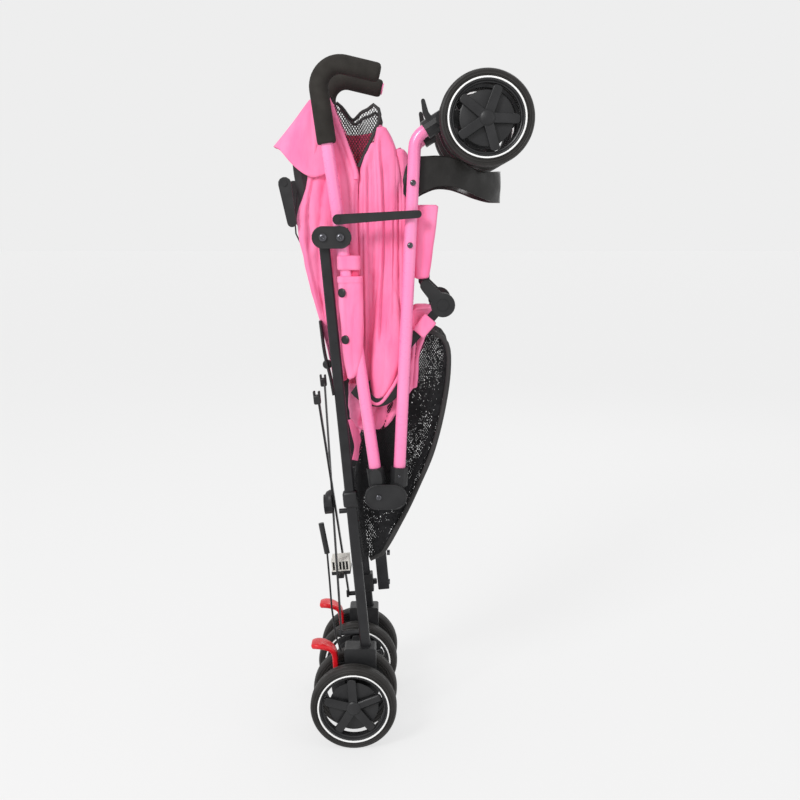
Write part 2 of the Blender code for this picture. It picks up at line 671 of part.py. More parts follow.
def add_caster(side):
    """Swivel barrel on the stem, a trailing arm between the wheels, the axle, and ears for the lever."""
    low = on_side(STEM_END - STEM * BARREL_LENGTH, side)
    high = on_side(STEM_END + STEM * 0.012, side)
    barrel = rod(low, high, BARREL_RADIUS)
    middle = side * HALF_TRACK
    arm = prism(
        hull_outline([(STEM_END + STEM * 0.010, 0.012), (FRONT_AXLE, 0.011)]), middle - FORK_HALF, middle + FORK_HALF)
    axle = cross_rod(FRONT_AXLE, middle - axle_reach(), middle + axle_reach(), AXLE_RADIUS)
    ears = clevis(LEVER_PIVOT, STEM_END - STEM * 0.008, side, LEVER_HALF, 0.003, 0.004, 0.006, 0.002)
    bore = rod(low - STEM * 0.01, on_side(STEM_END + STEM * GAP, side), TUBE_RADIUS + GAP)
    fork = cut(joined(barrel, arm, axle, *ears), bore)
    add_part(f"caster_fork_{side_name(side)}", fork, "black_plastic", on_side(STEM_END, side))


def add_swivel_lever(side):
    middle = side * HALF_TRACK
    tip = LEVER_PIVOT + Vector((-0.004, 0, 0.018))
    lever = prism(
        hull_outline([(LEVER_PIVOT, 0.0045), (tip, 0.003)]), middle - LEVER_HALF, middle + LEVER_HALF)
    bore = cross_rod(LEVER_PIVOT, middle - 0.01, middle + 0.01, 0.002 + GAP, 12)
    add_part(f"swivel_lever_{side_name(side)}", cut(lever, bore), "black_plastic", on_side(LEVER_PIVOT, side))


# ---------------------------------------------------------------- seat rail, calf rest, hood bracket
def add_seat_rail(side):
    bar = prism(
        hull_outline([(RAIL_PIVOT, 0.008), (CALF_PIVOT, 0.007)]), side * RAIL_INNER, side * RAIL_OUTER)
    boss = cross_rod(RAIL_PIVOT, side * (RAIL_OUTER - 0.002), side * (TUBE_INNER - GAP), BOSS_RADIUS, 12)
    add_part(f"seat_rail_{side_name(side)}", joined(bar, boss), "black_metal", on_side(RAIL_PIVOT, side))


def add_calf_hinge(side):
    disc = cross_rod(CALF_PIVOT, side * PLATE_INNER, side * PLATE_OUTER, CALF_DISC_RADIUS, 24)
    top = CALF_ELBOW + CALF_UP * (CALF_LENGTH - 0.012)
    arm = prism(hull_outline([(CALF_PIVOT, 0.012), (CALF_ELBOW, 0.009)]), side * PLATE_INNER, side * PLATE_OUTER)
    tongue = prism(
        hull_outline([(CALF_ELBOW, 0.006), (top, 0.006)]), side * (FABRIC_HALF + GAP), side * (PLATE_INNER + 0.002))
    recess = cross_rod(
        CALF_PIVOT, side * (PLATE_OUTER - CALF_BUTTON_THICKNESS - CALF_BUTTON_TRAVEL - LANE_GAP),
        side * (PLATE_OUTER + 0.01), CALF_BUTTON_RADIUS + GAP)
    hinge = cut(joined(disc, arm, tongue), recess)
    add_part(f"calf_hinge_{side_name(side)}", hinge, "black_plastic", on_side(CALF_PIVOT, side))
    button = cross_rod(CALF_PIVOT, side * (PLATE_OUTER - CALF_BUTTON_THICKNESS), side * PLATE_OUTER, CALF_BUTTON_RADIUS)
    add_part(f"calf_button_{side_name(side)}", button, "black_plastic", on_side(CALF_PIVOT, side))


def add_hood_bracket(side):
    """Bracket on the seat rail's pivot, with the blade that carries the folded hood."""
    elbow = RAIL_PIVOT + Vector((0.024, 0, 0.012))
    blade = RAIL_PIVOT + Vector((0.040, 0, 0.050))
    plate = prism(hull_outline([(RAIL_PIVOT, 0.011), (elbow, 0.009)]), side * PLATE_INNER, side * PLATE_OUTER)
    arm = prism(hull_outline([(elbow, 0.008), (blade, 0.005)]), side * PLATE_INNER, side * PLATE_OUTER)
    hole = cross_rod(RAIL_PIVOT, side * (PLATE_INNER - 0.01), side * (PLATE_OUTER + 0.01), BOSS_RADIUS + GAP, 12)
    add_part(f"hood_bracket_{side_name(side)}", cut(joined(plate, arm), hole), "black_plastic",
             on_side(RAIL_PIVOT, side))


RECLINE_PIVOT = FOLD_PIVOT + Vector((0.012, 0, -0.155))


def add_recline_plate(side):
    top = FOLD_PIVOT + Vector((-0.060, 0, 0.081))
    low = FOLD_PIVOT + Vector((-0.050, 0, 0.022))
    inner = FABRIC_HALF + GAP
    plate = prism(
        hull_outline([(top, 0.010), (low, 0.007)]), side * inner, side * (inner + RECLINE_PLATE_THICKNESS))
    screw = cross_rod(
        top, side * (inner + RECLINE_PLATE_THICKNESS - 0.001), side * (inner + RECLINE_PLATE_THICKNESS + 0.0015),
        0.004, 8)
    add_part(f"recline_plate_{side_name(side)}", joined(plate, screw), "black_plastic", on_side(RECLINE_PIVOT, side))


CLIP_PIVOT = HANDLE_SCREW + HANDLE_UP * 0.027
CLIP_END = Vector((FRONT_FOOT.x + 0.0275, 0, CLIP_PIVOT.z + 0.008))


def add_transport_clip():
    """The bar that ties the folded front leg to the handle tube, on the right side's outer face."""
    inner = TUBE_OUTER + 0.0018
    outer = inner + 0.006
    bar = prism(
        hull_outline([(CLIP_PIVOT, 0.0078), (CLIP_END, 0.006)]), RIGHT * inner, RIGHT * outer)
    head = cross_rod(CLIP_PIVOT, RIGHT * (outer - 0.001), RIGHT * (outer + 0.0015), 0.004, 12)
    add_part("transport_clip", joined(bar, head), "black_plastic", on_side(CLIP_PIVOT, RIGHT))


# ---------------------------------------------------------------- soft goods: plain closed solids
def soft_prism(name, anchor, offsets, half_width, finish, origin):
    """A folded soft piece: its side outline as offsets from an anchor point, made solid across."""
    outline = [anchor + Vector((forward, 0, up)) for forward, up in offsets]
    add_part(name, prism(outline, -half_width, half_width), finish, origin)


def add_soft_goods():
    soft_prism("hood", RAIL_PIVOT, [
        (0.012, -0.012), (0.032, -0.012), (0.054, 0.040), (0.064, 0.170), (0.062, 0.320), (0.052, 0.405),
        (0.024, 0.444), (0.000, 0.410), (-0.011, 0.347), (-0.012, 0.272), (-0.006, 0.172), (0.004, 0.042),
    ], FABRIC_HALF, "pink_fabric", RAIL_PIVOT)
    soft_prism("backrest", FOLD_PIVOT, [
        (0.010, -0.166), (0.024, -0.080), (0.020, 0.020), (0.008, 0.110), (-0.018, 0.168), (-0.056, 0.166),
        (-0.0955, 0.145), (-0.066, 0.080), (-0.045, -0.015), (-0.012, -0.143), (-0.002, -0.171),
    ], FABRIC_HALF, "pink_fabric", RECLINE_PIVOT)
    soft_prism("seat", RAIL_PIVOT, [
        (0.070, 0.022), (0.080, 0.012), (0.104, 0.092), (0.108, 0.120), (0.098, 0.125),
    ], FABRIC_HALF, "pink_fabric", RAIL_PIVOT)
    calf = hull_outline(
        [(CALF_ELBOW + CALF_UP * 0.012, 0.007), (CALF_ELBOW + CALF_UP * (CALF_LENGTH - 0.007), 0.007)], 8)
    add_part("calf_panel", prism(calf, -FABRIC_HALF, FABRIC_HALF), "pink_fabric", CALF_PIVOT)
    soft_prism("basket", FRONT_FOOT, [
        (0.020, 0.110), (0.072, 0.110), (0.066, 0.065), (0.045, -0.053), (-0.019, -0.158), (-0.045, -0.188),
        (-0.052, -0.180), (-0.044, -0.103), (-0.019, -0.023), (0.011, 0.056),
    ], BASKET_HALF, "mesh_fabric", on_side(LEG_FOOT, RIGHT))
    soft_prism("footrest_band", FRONT_BEND, [
        (0.010, -0.008), (0.033, -0.008), (0.054, -0.023), (0.085, -0.036), (0.110, -0.038), (0.145, -0.031),
        (0.1245, -0.081), (0.094, -0.069), (0.050, -0.055), (0.008, -0.072),
    ], PLATE_OUTER, "vinyl", on_side(KNEE, RIGHT))


def build():
    clear_scene()
    add_wheels("rear", REAR_AXLE, REAR_SPOKE_ANGLE)
    add_wheels("front", FRONT_AXLE, FRONT_SPOKE_ANGLE)
    for side in (RIGHT, LEFT):
        add_rear_leg(side)
        add_axle_housing(side)
        add_rear_axle(side)
        add_brake_pedal(side)
        add_brace_bar(side)
        add_handle(side)
        add_pivot_bracket(side)
        add_knee(side)
        add_front_leg(side)
        add_caster(side)
        add_swivel_lever(side)
        add_seat_rail(side)
        add_calf_hinge(side)
        add_hood_bracket(side)
        add_recline_plate(side)
    add_lock_pedal()
    add_transport_clip()
    add_soft_goods()


build()
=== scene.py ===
# %% [markdown]
# # An umbrella stroller, folded and standing on its rear wheels
# The mechanical model gives every tube, hinge and wheel at its real place, and this lesson dresses it:
# painted tubes, foam grips, ribbed tyres, moulded knees, and the pink cloth that hangs gathered between
# the two side frames. Nothing here moves a mechanical part. Everything is in metres, with +X to the front
# of the stroller, +Y to its left and +Z up.

from math import cos, exp, pi, radians, sin, sqrt

import bpy
from mathutils import Matrix, Vector, noise


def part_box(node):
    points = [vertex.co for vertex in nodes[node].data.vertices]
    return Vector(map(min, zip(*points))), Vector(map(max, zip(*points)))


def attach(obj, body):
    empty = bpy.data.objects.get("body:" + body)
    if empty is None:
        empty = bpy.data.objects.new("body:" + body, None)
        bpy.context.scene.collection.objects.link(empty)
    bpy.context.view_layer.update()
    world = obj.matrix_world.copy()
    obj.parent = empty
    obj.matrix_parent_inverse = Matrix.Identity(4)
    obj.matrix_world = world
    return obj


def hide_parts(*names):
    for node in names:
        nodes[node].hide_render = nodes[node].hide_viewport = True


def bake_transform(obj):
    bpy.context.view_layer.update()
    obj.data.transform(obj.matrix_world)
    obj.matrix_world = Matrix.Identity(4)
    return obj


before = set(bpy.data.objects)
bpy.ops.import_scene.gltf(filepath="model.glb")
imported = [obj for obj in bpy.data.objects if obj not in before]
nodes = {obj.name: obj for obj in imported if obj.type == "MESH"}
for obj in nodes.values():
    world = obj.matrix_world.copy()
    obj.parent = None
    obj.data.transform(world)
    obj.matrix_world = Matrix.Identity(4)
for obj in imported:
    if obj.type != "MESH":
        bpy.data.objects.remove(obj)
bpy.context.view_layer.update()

# %% [markdown]
# ## Camera, floor and light
# The stroller is seen from its right side, from a little above its middle. A long, soft studio light needs
# large lamps, because the size of a lamp sets how soft a shadow is. The floor is plain and pale, and the
# world behind it has nearly the same tone, so no horizon shows: the floor gives off a little light of its own,
# as a lit studio sweep does, which also keeps shadows faint.

# %% Camera
CAMERA_PLACE = (0.0076, -1.6345, 0.8405)
CAMERA_TILT = radians(80)
bpy.ops.object.camera_add(location=CAMERA_PLACE, rotation=(CAMERA_TILT, 0, 0))
camera = bpy.context.object
camera.data.lens = 45
bpy.context.scene.camera = camera
print("camera at", CAMERA_PLACE)

# %% Floor and world
bpy.ops.mesh.primitive_plane_add(size=60)
floor = bpy.context.object
floor.name = "floor"
STUDIO_TONE = 0.855               # the world's own light, and the tone that the floor is brought to
FLOOR_TONE = 0.17
LAMP_SHARE = 0.022                # what the three lamps add on the floor
floor_paint = bpy.data.materials.new("floor_paint")
floor_paint.use_nodes = True
floor_inputs = floor_paint.node_tree.nodes["Principled BSDF"].inputs
floor_inputs["Base Color"].default_value = (FLOOR_TONE, FLOOR_TONE, FLOOR_TONE, 1)
floor_inputs["Roughness"].default_value = 0.9
floor_inputs["Specular IOR Level"].default_value = 0.1
floor_inputs["Emission Color"].default_value = (1, 1, 1, 1)
floor_inputs["Emission Strength"].default_value = STUDIO_TONE * (1 - FLOOR_TONE) - LAMP_SHARE
floor.data.materials.append(floor_paint)
bpy.context.scene.view_settings.view_transform = "Standard"

world = bpy.data.worlds.new("studio")
bpy.context.scene.world = world
world.use_nodes = True
world.node_tree.nodes["Background"].inputs["Color"].default_value = (STUDIO_TONE, STUDIO_TONE, STUDIO_TONE, 1)
world.node_tree.nodes["Background"].inputs["Strength"].default_value = 1.0
print("floor and world")

# %% Lamps
AIM = Vector((0, 0, 0.6))


def lamp(name, place, size, power):
    """A square soft box that faces the stroller."""
    bpy.ops.object.light_add(type="AREA", location=place)
    light = bpy.context.object
    light.name = name
    light.data.size = size
    light.data.energy = power
    light.rotation_euler = (AIM - Vector(place)).to_track_quat("-Z", "Y").to_euler()


lamp("key", (-1.5, -2.2, 2.3), 0.8, 56)
lamp("fill", (2.2, -1.6, 1.2), 1.6, 6)
lamp("rear", (0.8, 2.2, 2.2), 1.6, 14)
print("three lamps")

# %% [markdown]
# ## Finishes
# Each finish is a node material that reads Object coordinates, so a pattern keeps its real size and stays
# on the piece when a joint moves. Plastic has a fine moulded grain and a worn sheen, painted tube has a
# clear coat over slightly uneven paint, foam has open pores, and cloth has a weave and long soft wrinkles.

# %% Material helpers


def shader_of(material):
    return material.node_tree.nodes["Principled BSDF"]


def new_finish(name, colour, roughness, metallic=0.0):
    """A material with one Principled shader."""
    material = bpy.data.materials.new(name)
    material.use_nodes = True
    inputs = shader_of(material).inputs
    inputs["Base Color"].default_value = (*colour, 1)
    inputs["Roughness"].default_value = roughness
    inputs["Metallic"].default_value = metallic
    return material


def object_place(material, scale=(1, 1, 1), turn=(0, 0, 0)):
    """Object coordinates, stretched or turned."""
    made = material.node_tree.nodes
    coordinates = made.new("ShaderNodeTexCoord")
    mapping = made.new("ShaderNodeMapping")
    mapping.inputs["Scale"].default_value = scale
    mapping.inputs["Rotation"].default_value = turn
    material.node_tree.links.new(coordinates.outputs["Object"], mapping.inputs["Vector"])
    return mapping.outputs["Vector"]


def noise_value(material, scale, detail=3.0, stretch=(1, 1, 1)):
    """A noise pattern; scale is how many lumps there are in a metre."""
    texture = material.node_tree.nodes.new("ShaderNodeTexNoise")
    texture.inputs["Scale"].default_value = scale
    texture.inputs["Detail"].default_value = detail
    material.node_tree.links.new(object_place(material, stretch), texture.inputs["Vector"])
    return texture.outputs["Fac"]


def add_bump(material, height, distance):
    """Puts a bump on the shader, over any bump that is there already."""
    tree = material.node_tree
    bump = tree.nodes.new("ShaderNodeBump")
    bump.inputs["Distance"].default_value = distance
    tree.links.new(height, bump.inputs["Height"])
    normal = shader_of(material).inputs["Normal"]
    if normal.links:
        tree.links.new(normal.links[0].from_socket, bump.inputs["Normal"])
    tree.links.new(bump.outputs["Normal"], normal)


def vary(material, value, socket, low, high):
    """Lets a pattern move a colour or a number between two ends."""
    tree = material.node_tree
    ramp = tree.nodes.new("ShaderNodeValToRGB")
    ends = ramp.color_ramp.elements
    ends[0].position, ends[1].position = 0.3, 0.7
    for end, tone in zip(ends, (low, high)):
        end.color = (*tone, 1) if hasattr(tone, "__len__") else (tone, tone, tone, 1)
    tree.links.new(value, ramp.inputs["Fac"])
    tree.links.new(ramp.outputs["Color"], shader_of(material).inputs[socket])


BAND_AT_ONE = pi / 10             # width of a wave texture's bands when its scale is 1


def threads(material, pitch, direction, turn=(0, 0, 0), waver=0.0):
    """Parallel threads, pitch metres apart. waver lets them wander, as slack net does."""
    wave = material.node_tree.nodes.new("ShaderNodeTexWave")
    wave.bands_direction = direction
    wave.inputs["Scale"].default_value = BAND_AT_ONE / pitch
    wave.inputs["Distortion"].default_value = waver
    wave.inputs["Detail Scale"].default_value = 0.4
    material.node_tree.links.new(object_place(material, turn=turn), wave.inputs["Vector"])
    return wave.outputs["Fac"]


def combine(material, operation, first, second):
    """Math on two values; the second may be a plain number."""
    node = material.node_tree.nodes.new("ShaderNodeMath")
    node.operation = operation
    material.node_tree.links.new(first, node.inputs[0])
    if isinstance(second, (int, float)):
        node.inputs[1].default_value = second
    else:
        material.node_tree.links.new(second, node.inputs[1])
    return node.outputs["Value"]


print("material helpers ready")

# %% Hard finishes


def moulded(name, dark, light, roughness, grain=900, depth=0.00006, shine=0.34):
    """Moulded plastic: two close shades, a fine grain and patches of wear."""
    material = new_finish(name, light, roughness)
    vary(material, noise_value(material, 40), "Base Color", dark, light)
    vary(material, noise_value(material, 90, 4), "Roughness", roughness - 0.07, roughness + 0.09)
    add_bump(material, noise_value(material, grain, 2), depth)
    shader_of(material).inputs["Specular IOR Level"].default_value = shine
    return material


finishes = {
    "moulded_black": moulded("moulded_black", (0.010, 0.010, 0.011), (0.019, 0.019, 0.020), 0.40),
    "frame_black": moulded("frame_black", (0.008, 0.008, 0.009), (0.015, 0.015, 0.017), 0.34, 500, 0.00003),
    "foam_black": moulded("foam_black", (0.020, 0.018, 0.016), (0.031, 0.028, 0.025), 0.86, 1500, 0.00030, 0.2),
    "tyre_black": moulded("tyre_black", (0.011, 0.010, 0.009), (0.020, 0.018, 0.017), 0.50, 700, 0.00012),
    "pedal_red": moulded("pedal_red", (0.52, 0.006, 0.012), (0.66, 0.010, 0.018), 0.26, 500, 0.00003, 0.45),
    "ring_white": moulded("ring_white", (0.76, 0.76, 0.75), (0.88, 0.88, 0.87), 0.40),
    "button_ivory": moulded("button_ivory", (0.62, 0.60, 0.55), (0.74, 0.72, 0.67), 0.42),
}

tube_paint = new_finish("tube_pink", (0.93, 0.30, 0.50), 0.30)
vary(tube_paint, noise_value(tube_paint, 25, 2, (1, 1, 0.2)), "Base Color", (0.90, 0.21, 0.44), (0.95, 0.26, 0.50))
vary(tube_paint, noise_value(tube_paint, 140, 4), "Roughness", 0.24, 0.36)
add_bump(tube_paint, noise_value(tube_paint, 350, 2), 0.00001)
shader_of(tube_paint).inputs["Coat Weight"].default_value = 0.35
shader_of(tube_paint).inputs["Coat Roughness"].default_value = 0.12
finishes["tube_pink"] = tube_paint

steel = new_finish("axle_steel", (0.45, 0.45, 0.46), 0.3, 1.0)
vary(steel, noise_value(steel, 200, 5, (1, 0.2, 1)), "Roughness", 0.2, 0.42)
add_bump(steel, noise_value(steel, 900, 2), 0.00003)
finishes["axle_steel"] = steel
dark_steel = new_finish("rivet_steel", (0.10, 0.10, 0.11), 0.25, 1.0)
vary(dark_steel, noise_value(dark_steel, 400, 3), "Roughness", 0.18, 0.36)
finishes["rivet_steel"] = dark_steel
print(len(finishes), "hard finishes")

# %% Soft finishes
WEAVE_PITCH = 0.0008
NET_SLANT = radians(32)
DIAGONAL = (0, 0, pi / 4)         # so that one set of threads shows on faces that look any way


def woven(name, dark, light, roughness=0.78, sheen=0.35, weave_depth=0.00012, wrinkle=0.0016):
    """Plain-woven cloth: threads both ways, long soft wrinkles and a faint sheen."""
    material = new_finish(name, light, roughness)
    vary(material, noise_value(material, 28, 4, (1, 1, 0.35)), "Base Color", dark, light)
    add_bump(material, noise_value(material, 42, 3, (1, 1, 0.25)), wrinkle)
    warp = threads(material, WEAVE_PITCH, "X", DIAGONAL)
    weft = threads(material, WEAVE_PITCH, "Z")
    add_bump(material, combine(material, "MULTIPLY", warp, weft), weave_depth)
    inputs = shader_of(material).inputs
    inputs["Sheen Weight"].default_value = sheen
    inputs["Sheen Roughness"].default_value = 0.35
    inputs["Sheen Tint"].default_value = (*[min(1.0, v * 1.2 + 0.1) for v in light], 1)
    return material


finishes["fabric_pink"] = woven("fabric_pink", (0.92, 0.165, 0.360), (0.98, 0.275, 0.490), wrinkle=0.0034)
# a darker, deeper pink for the cloth pieces set in gaps and behind the net: a shaded copy of the pink cloth, painted
# shade
finishes["fabric_painted_shade"] = woven("fabric_painted_shade", (0.62, 0.050, 0.14), (0.74, 0.075, 0.19))
finishes["webbing_black"] = woven("webbing_black", (0.016, 0.016, 0.017), (0.030, 0.030, 0.032),
                                  roughness=0.62, sheen=0.2, weave_depth=0.0003, wrinkle=0.0002)
finishes["binding_black"] = woven("binding_black", (0.018, 0.017, 0.017), (0.032, 0.030, 0.030),
                                  roughness=0.66, sheen=0.25, weave_depth=0.0002, wrinkle=0.0003)

vinyl = new_finish("vinyl_black", (0.024, 0.023, 0.022), 0.36)
vary(vinyl, noise_value(vinyl, 30, 3), "Base Color", (0.007, 0.0065, 0.006), (0.014, 0.013, 0.012))
vary(vinyl, noise_value(vinyl, 60, 4), "Roughness", 0.28, 0.46)
add_bump(vinyl, noise_value(vinyl, 32, 3), 0.0016)
add_bump(vinyl, noise_value(vinyl, 1100, 2), 0.00006)
shader_of(vinyl).inputs["Specular IOR Level"].default_value = 0.32
finishes["vinyl_black"] = vinyl


def netting(name, colour, pitch, thread, waver, doubled=0.0):
    """Net: threads both ways on the slant, with clear holes between them. doubled is how much lies on itself."""
    material = new_finish(name, colour, 0.8)
    shader_of(material).inputs["Specular IOR Level"].default_value = 0.15
    one = threads(material, pitch, "X", (0, NET_SLANT, 0), waver)
    other = threads(material, pitch, "X", (0, -NET_SLANT, 0), waver)
    crossing = combine(material, "MAXIMUM", one, other)
    solid = combine(material, "GREATER_THAN", crossing, 1 - thread)
    if doubled:
        speckle = combine(material, "ADD", noise_value(material, 300, 1), noise_value(material, 34, 2, (1, 1, 0.3)))
        solid = combine(material, "MAXIMUM", solid, combine(material, "LESS_THAN", speckle, 2 * doubled))
    material.node_tree.links.new(solid, shader_of(material).inputs["Alpha"])
    vary(material, noise_value(material, 120), "Base Color", [v * 0.7 for v in colour], [v * 1.3 for v in colour])
    add_bump(material, crossing, 0.0002)
    return material


finishes["net_fine"] = netting("net_fine", (0.013, 0.013, 0.014), 0.0030, 0.34, 3.0, 0.495)
finishes["net_open"] = netting("net_open", (0.028, 0.027, 0.028), 0.0036, 0.16, 1.5)
finishes["mesh_black"] = finishes["net_fine"]
print(len(finishes), "finishes in all")

# %% Dress the mechanical nodes
for node in nodes.values():
    for place in node.material_slots:
        place.material = finishes[place.material.name.split(".")[0]]
print("every mechanical node has its finish")

# %% [markdown]
# ## Places in the side view
# Both side frames lie in upright planes, so most places are an X and a Z. The few below are the stroller's
# driving places: the fold pivot, the two leaning tubes, the knee and the front leg.

# %% Places
HALF_TRACK = 0.0885               # side frame's plane from the middle
TUBE_RADIUS = 0.0095
GRIP_RADIUS = 0.0145
SIDES = {"right": -1, "left": 1}


def polar(angle):
    """Unit direction in the side view, measured from upright towards the front."""
    return Vector((sin(angle), 0, cos(angle)))


LEG_LEAN = 5.22                   # degrees that the rear legs lean back
LEG_TURN = radians(-LEG_LEAN)
LEG_UP = polar(LEG_TURN)
LEG_NORMAL = polar(radians(90 - LEG_LEAN))
HANDLE_LEAN = radians(8)
HANDLE_UP = polar(-HANDLE_LEAN)
FRONT_LEAN = radians(2.64)
FRONT_UP = polar(FRONT_LEAN)
FOLD_PIVOT = Vector((-0.1091, 0, 0.8200))
HANDLE_SCREW = Vector((-0.0827, 0, 0.8200))
KNEE = HANDLE_SCREW - HANDLE_UP * 0.4086      # down the handle tube
GRIP_BEND = HANDLE_SCREW + HANDLE_UP * 0.2191 # and up it, to where the grip turns forwards
FRONT_FOOT = KNEE + Vector((0.0327, 0, 0.0451))
FRONT_BEND = FRONT_FOOT + FRONT_UP * 0.493    # where the front leg bends towards its wheels
STEM_ANGLE = radians(57.5)


def on_side(point, side, across=HALF_TRACK):
    return Vector((point.x, SIDES[side] * across, point.z))


def handle_at(height):
    """Middle of the handle tube at a height."""
    return HANDLE_SCREW + HANDLE_UP * ((height - HANDLE_SCREW.z) / HANDLE_UP.z)


def front_leg_at(height):
    return FRONT_FOOT + FRONT_UP * ((height - FRONT_FOOT.z) / FRONT_UP.z)


def rear_leg_at(height):
    return FOLD_PIVOT + LEG_UP * ((height - FOLD_PIVOT.z) / LEG_UP.z)


print("knee at", [round(v, 4) for v in KNEE])

# %% Making helpers


def deselect():
    bpy.ops.object.select_all(action="DESELECT")


def make_active(piece):
    deselect()
    piece.select_set(True)
    bpy.context.view_layer.objects.active = piece


def settle(piece, smooth_angle=None):
    """Puts the place into the mesh, and smooths the shading."""
    make_active(piece)
    bpy.ops.object.transform_apply(location=True, rotation=True, scale=True)
    if smooth_angle is None:
        bpy.ops.object.shade_smooth()
    else:
        bpy.ops.object.shade_smooth_by_angle(angle=radians(smooth_angle))
    return piece


def apply_modifier(piece, kind, **settings):
    make_active(piece)
    modifier = piece.modifiers.new(kind.title(), kind)
    for key, value in settings.items():
        setattr(modifier, key, value)
    bpy.ops.object.modifier_apply(modifier=modifier.name)


def dress(piece, finish):
    """Gives a piece its finish."""
    piece.data.materials.clear()
    piece.data.materials.append(finishes[finish])
    return piece


def mount(piece, finish, body, node=None):
    """Dresses a piece and ties it to its body. node is the mechanical node whose place it takes."""
    dress(piece, finish)
    if node:
        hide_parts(node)
    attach(piece, body)


def tidy_mesh(piece):
    """Merges doubles, closes holes and points every face outwards."""
    make_active(piece)
    bpy.ops.object.mode_set(mode="EDIT")
    bpy.ops.mesh.select_all(action="SELECT")
    bpy.ops.mesh.remove_doubles(threshold=1e-5)
    bpy.ops.mesh.fill_holes(sides=0)
    bpy.ops.mesh.select_all(action="SELECT")
    bpy.ops.mesh.normals_make_consistent(inside=False)
    bpy.ops.object.mode_set(mode="OBJECT")


def join(pieces, name):
    make_active(pieces[0])
    for piece in pieces:
        piece.select_set(True)
    bpy.ops.object.join()
    pieces[0].name = name
    return pieces[0]


print("making helpers ready")

# %% [markdown]
# ## Tubes and foam grips
# The bent tubes are round, and the mechanical model has them as twelve-sided prisms. A curve with a round
# bevel follows the same line with a smooth skin. The foam is the same idea, thicker, with its ends pulled
# in a little where the foam was cut.

# %% Tube helper
TUBE_FINENESS = 8                 # bevel steps round a curve


def tube_along(name, points, radius, swell=None):
    """A round tube through points. swell is the share of the radius at each point."""
    line = bpy.data.curves.new(name, "CURVE")
    line.dimensions = "3D"
    spline = line.splines.new("POLY")
    spline.points.add(len(points) - 1)
    for index, point in enumerate(points):
        spline.points[index].co = (*point, 1)
        spline.points[index].radius = swell[index] if swell else 1
    line.bevel_depth = radius
    line.bevel_resolution = TUBE_FINENESS
    line.use_fill_caps = True
    tube = bpy.data.objects.new(name, line)
    bpy.context.scene.collection.objects.link(tube)
    make_active(tube)
    bpy.ops.object.convert(target="MESH")
    tube = bpy.context.object
    tidy_mesh(tube)
    return settle(tube, 50)


def bend(start, from_angle, to_angle, radius, steps=14):
    """Points round a bend that turns forwards."""
    centre = start + polar(from_angle + pi / 2) * radius
    return [centre - polar(from_angle + (to_angle - from_angle) * step / steps + pi / 2) * radius
            for step in range(1, steps + 1)]


GRIP_BEND_RADIUS = 0.032
GRIP_TIP = radians(103)
grip_curve = bend(GRIP_BEND, -HANDLE_LEAN, GRIP_TIP, GRIP_BEND_RADIUS)
grip_end = grip_curve[-1] + polar(GRIP_TIP) * 0.052
grip_start = GRIP_BEND - HANDLE_UP * 0.079
tube_start = KNEE + HANDLE_UP * 0.019
leg_curve = bend(FRONT_BEND, FRONT_LEAN, STEM_ANGLE, 0.030, 10)
stem_end = leg_curve[-1] + polar(STEM_ANGLE) * 0.024
print("grip ends at", [round(v, 4) for v in grip_end])

# %% Handle tubes, grips and front legs
for side in SIDES:
    # the right grip covers its tube's end, and the left tube's end shows
    reach = -0.004 if side == "right" else 0.003
    handle_line = [tube_start, GRIP_BEND, *grip_curve, grip_end + polar(GRIP_TIP) * reach]
    handle = tube_along(f"handle_paint_{side}", [on_side(p, side) for p in handle_line], TUBE_RADIUS)
    mount(handle, "tube_pink", f"handle_{side}", node=f"handle_tube_{side}")

    cut = 0.0022                  # how far the foam's cut ends are pulled in
    tip = polar(GRIP_TIP)
    foam_line = [grip_start, grip_start + HANDLE_UP * cut, grip_start + HANDLE_UP * cut * 2.2, GRIP_BEND,
                 *grip_curve, grip_end - tip * cut * 2.5, grip_end - tip * cut, grip_end, grip_end + tip * cut * 0.7]
    swell = [0.90, 0.975] + [1] * (len(foam_line) - 6) + [1, 0.96, 0.84, 0.58]
    foam = tube_along(f"grip_foam_{side}", [on_side(p, side) for p in foam_line], GRIP_RADIUS, swell)
    mount(foam, "foam_black", f"handle_{side}", node=f"handle_grip_{side}")

    leg_line = [FRONT_FOOT - FRONT_UP * 0.0265, FRONT_BEND, *leg_curve, stem_end]
    leg = tube_along(f"front_leg_paint_{side}", [on_side(p, side) for p in leg_line], TUBE_RADIUS)
    mount(leg, "tube_pink", f"front_leg_{side}", node=f"front_leg_{side}")
print("tubes and grips on both sides")

# %% [markdown]
# ## Screws and rivets
# A domed rivet is a short cylinder with a rounded shoulder and a small dimple. It is modelled once, with its
# axis along Y, and copied with its own mesh to each place where two parts are fastened.

# %% Rivet
RIVET_SIDES = 20


def make_rivet():
    deselect()
    bpy.ops.mesh.primitive_cylinder_add(vertices=RIVET_SIDES, radius=1, depth=0.8, rotation=(pi / 2, 0, 0))
    rivet = bpy.context.object
    rivet.name = "rivet_pattern"
    settle(rivet, 40)
    bpy.ops.object.mode_set(mode="EDIT")
    bpy.ops.mesh.select_all(action="DESELECT")
    bpy.ops.object.mode_set(mode="OBJECT")
    for face in rivet.data.polygons:
        face.select = face.normal.y < -0.9
    bpy.ops.object.mode_set(mode="EDIT")
    bpy.ops.mesh.inset(thickness=0.30, depth=0.22)
    bpy.ops.mesh.inset(thickness=0.28, depth=0.10)
    bpy.ops.mesh.inset(thickness=0.08, depth=-0.22)
    bpy.ops.object.mode_set(mode="OBJECT")
    apply_modifier(rivet, "BEVEL", width=0.06, segments=2, limit_method="ANGLE")
    settle(rivet, 40)
    return rivet


rivet_pattern = make_rivet()


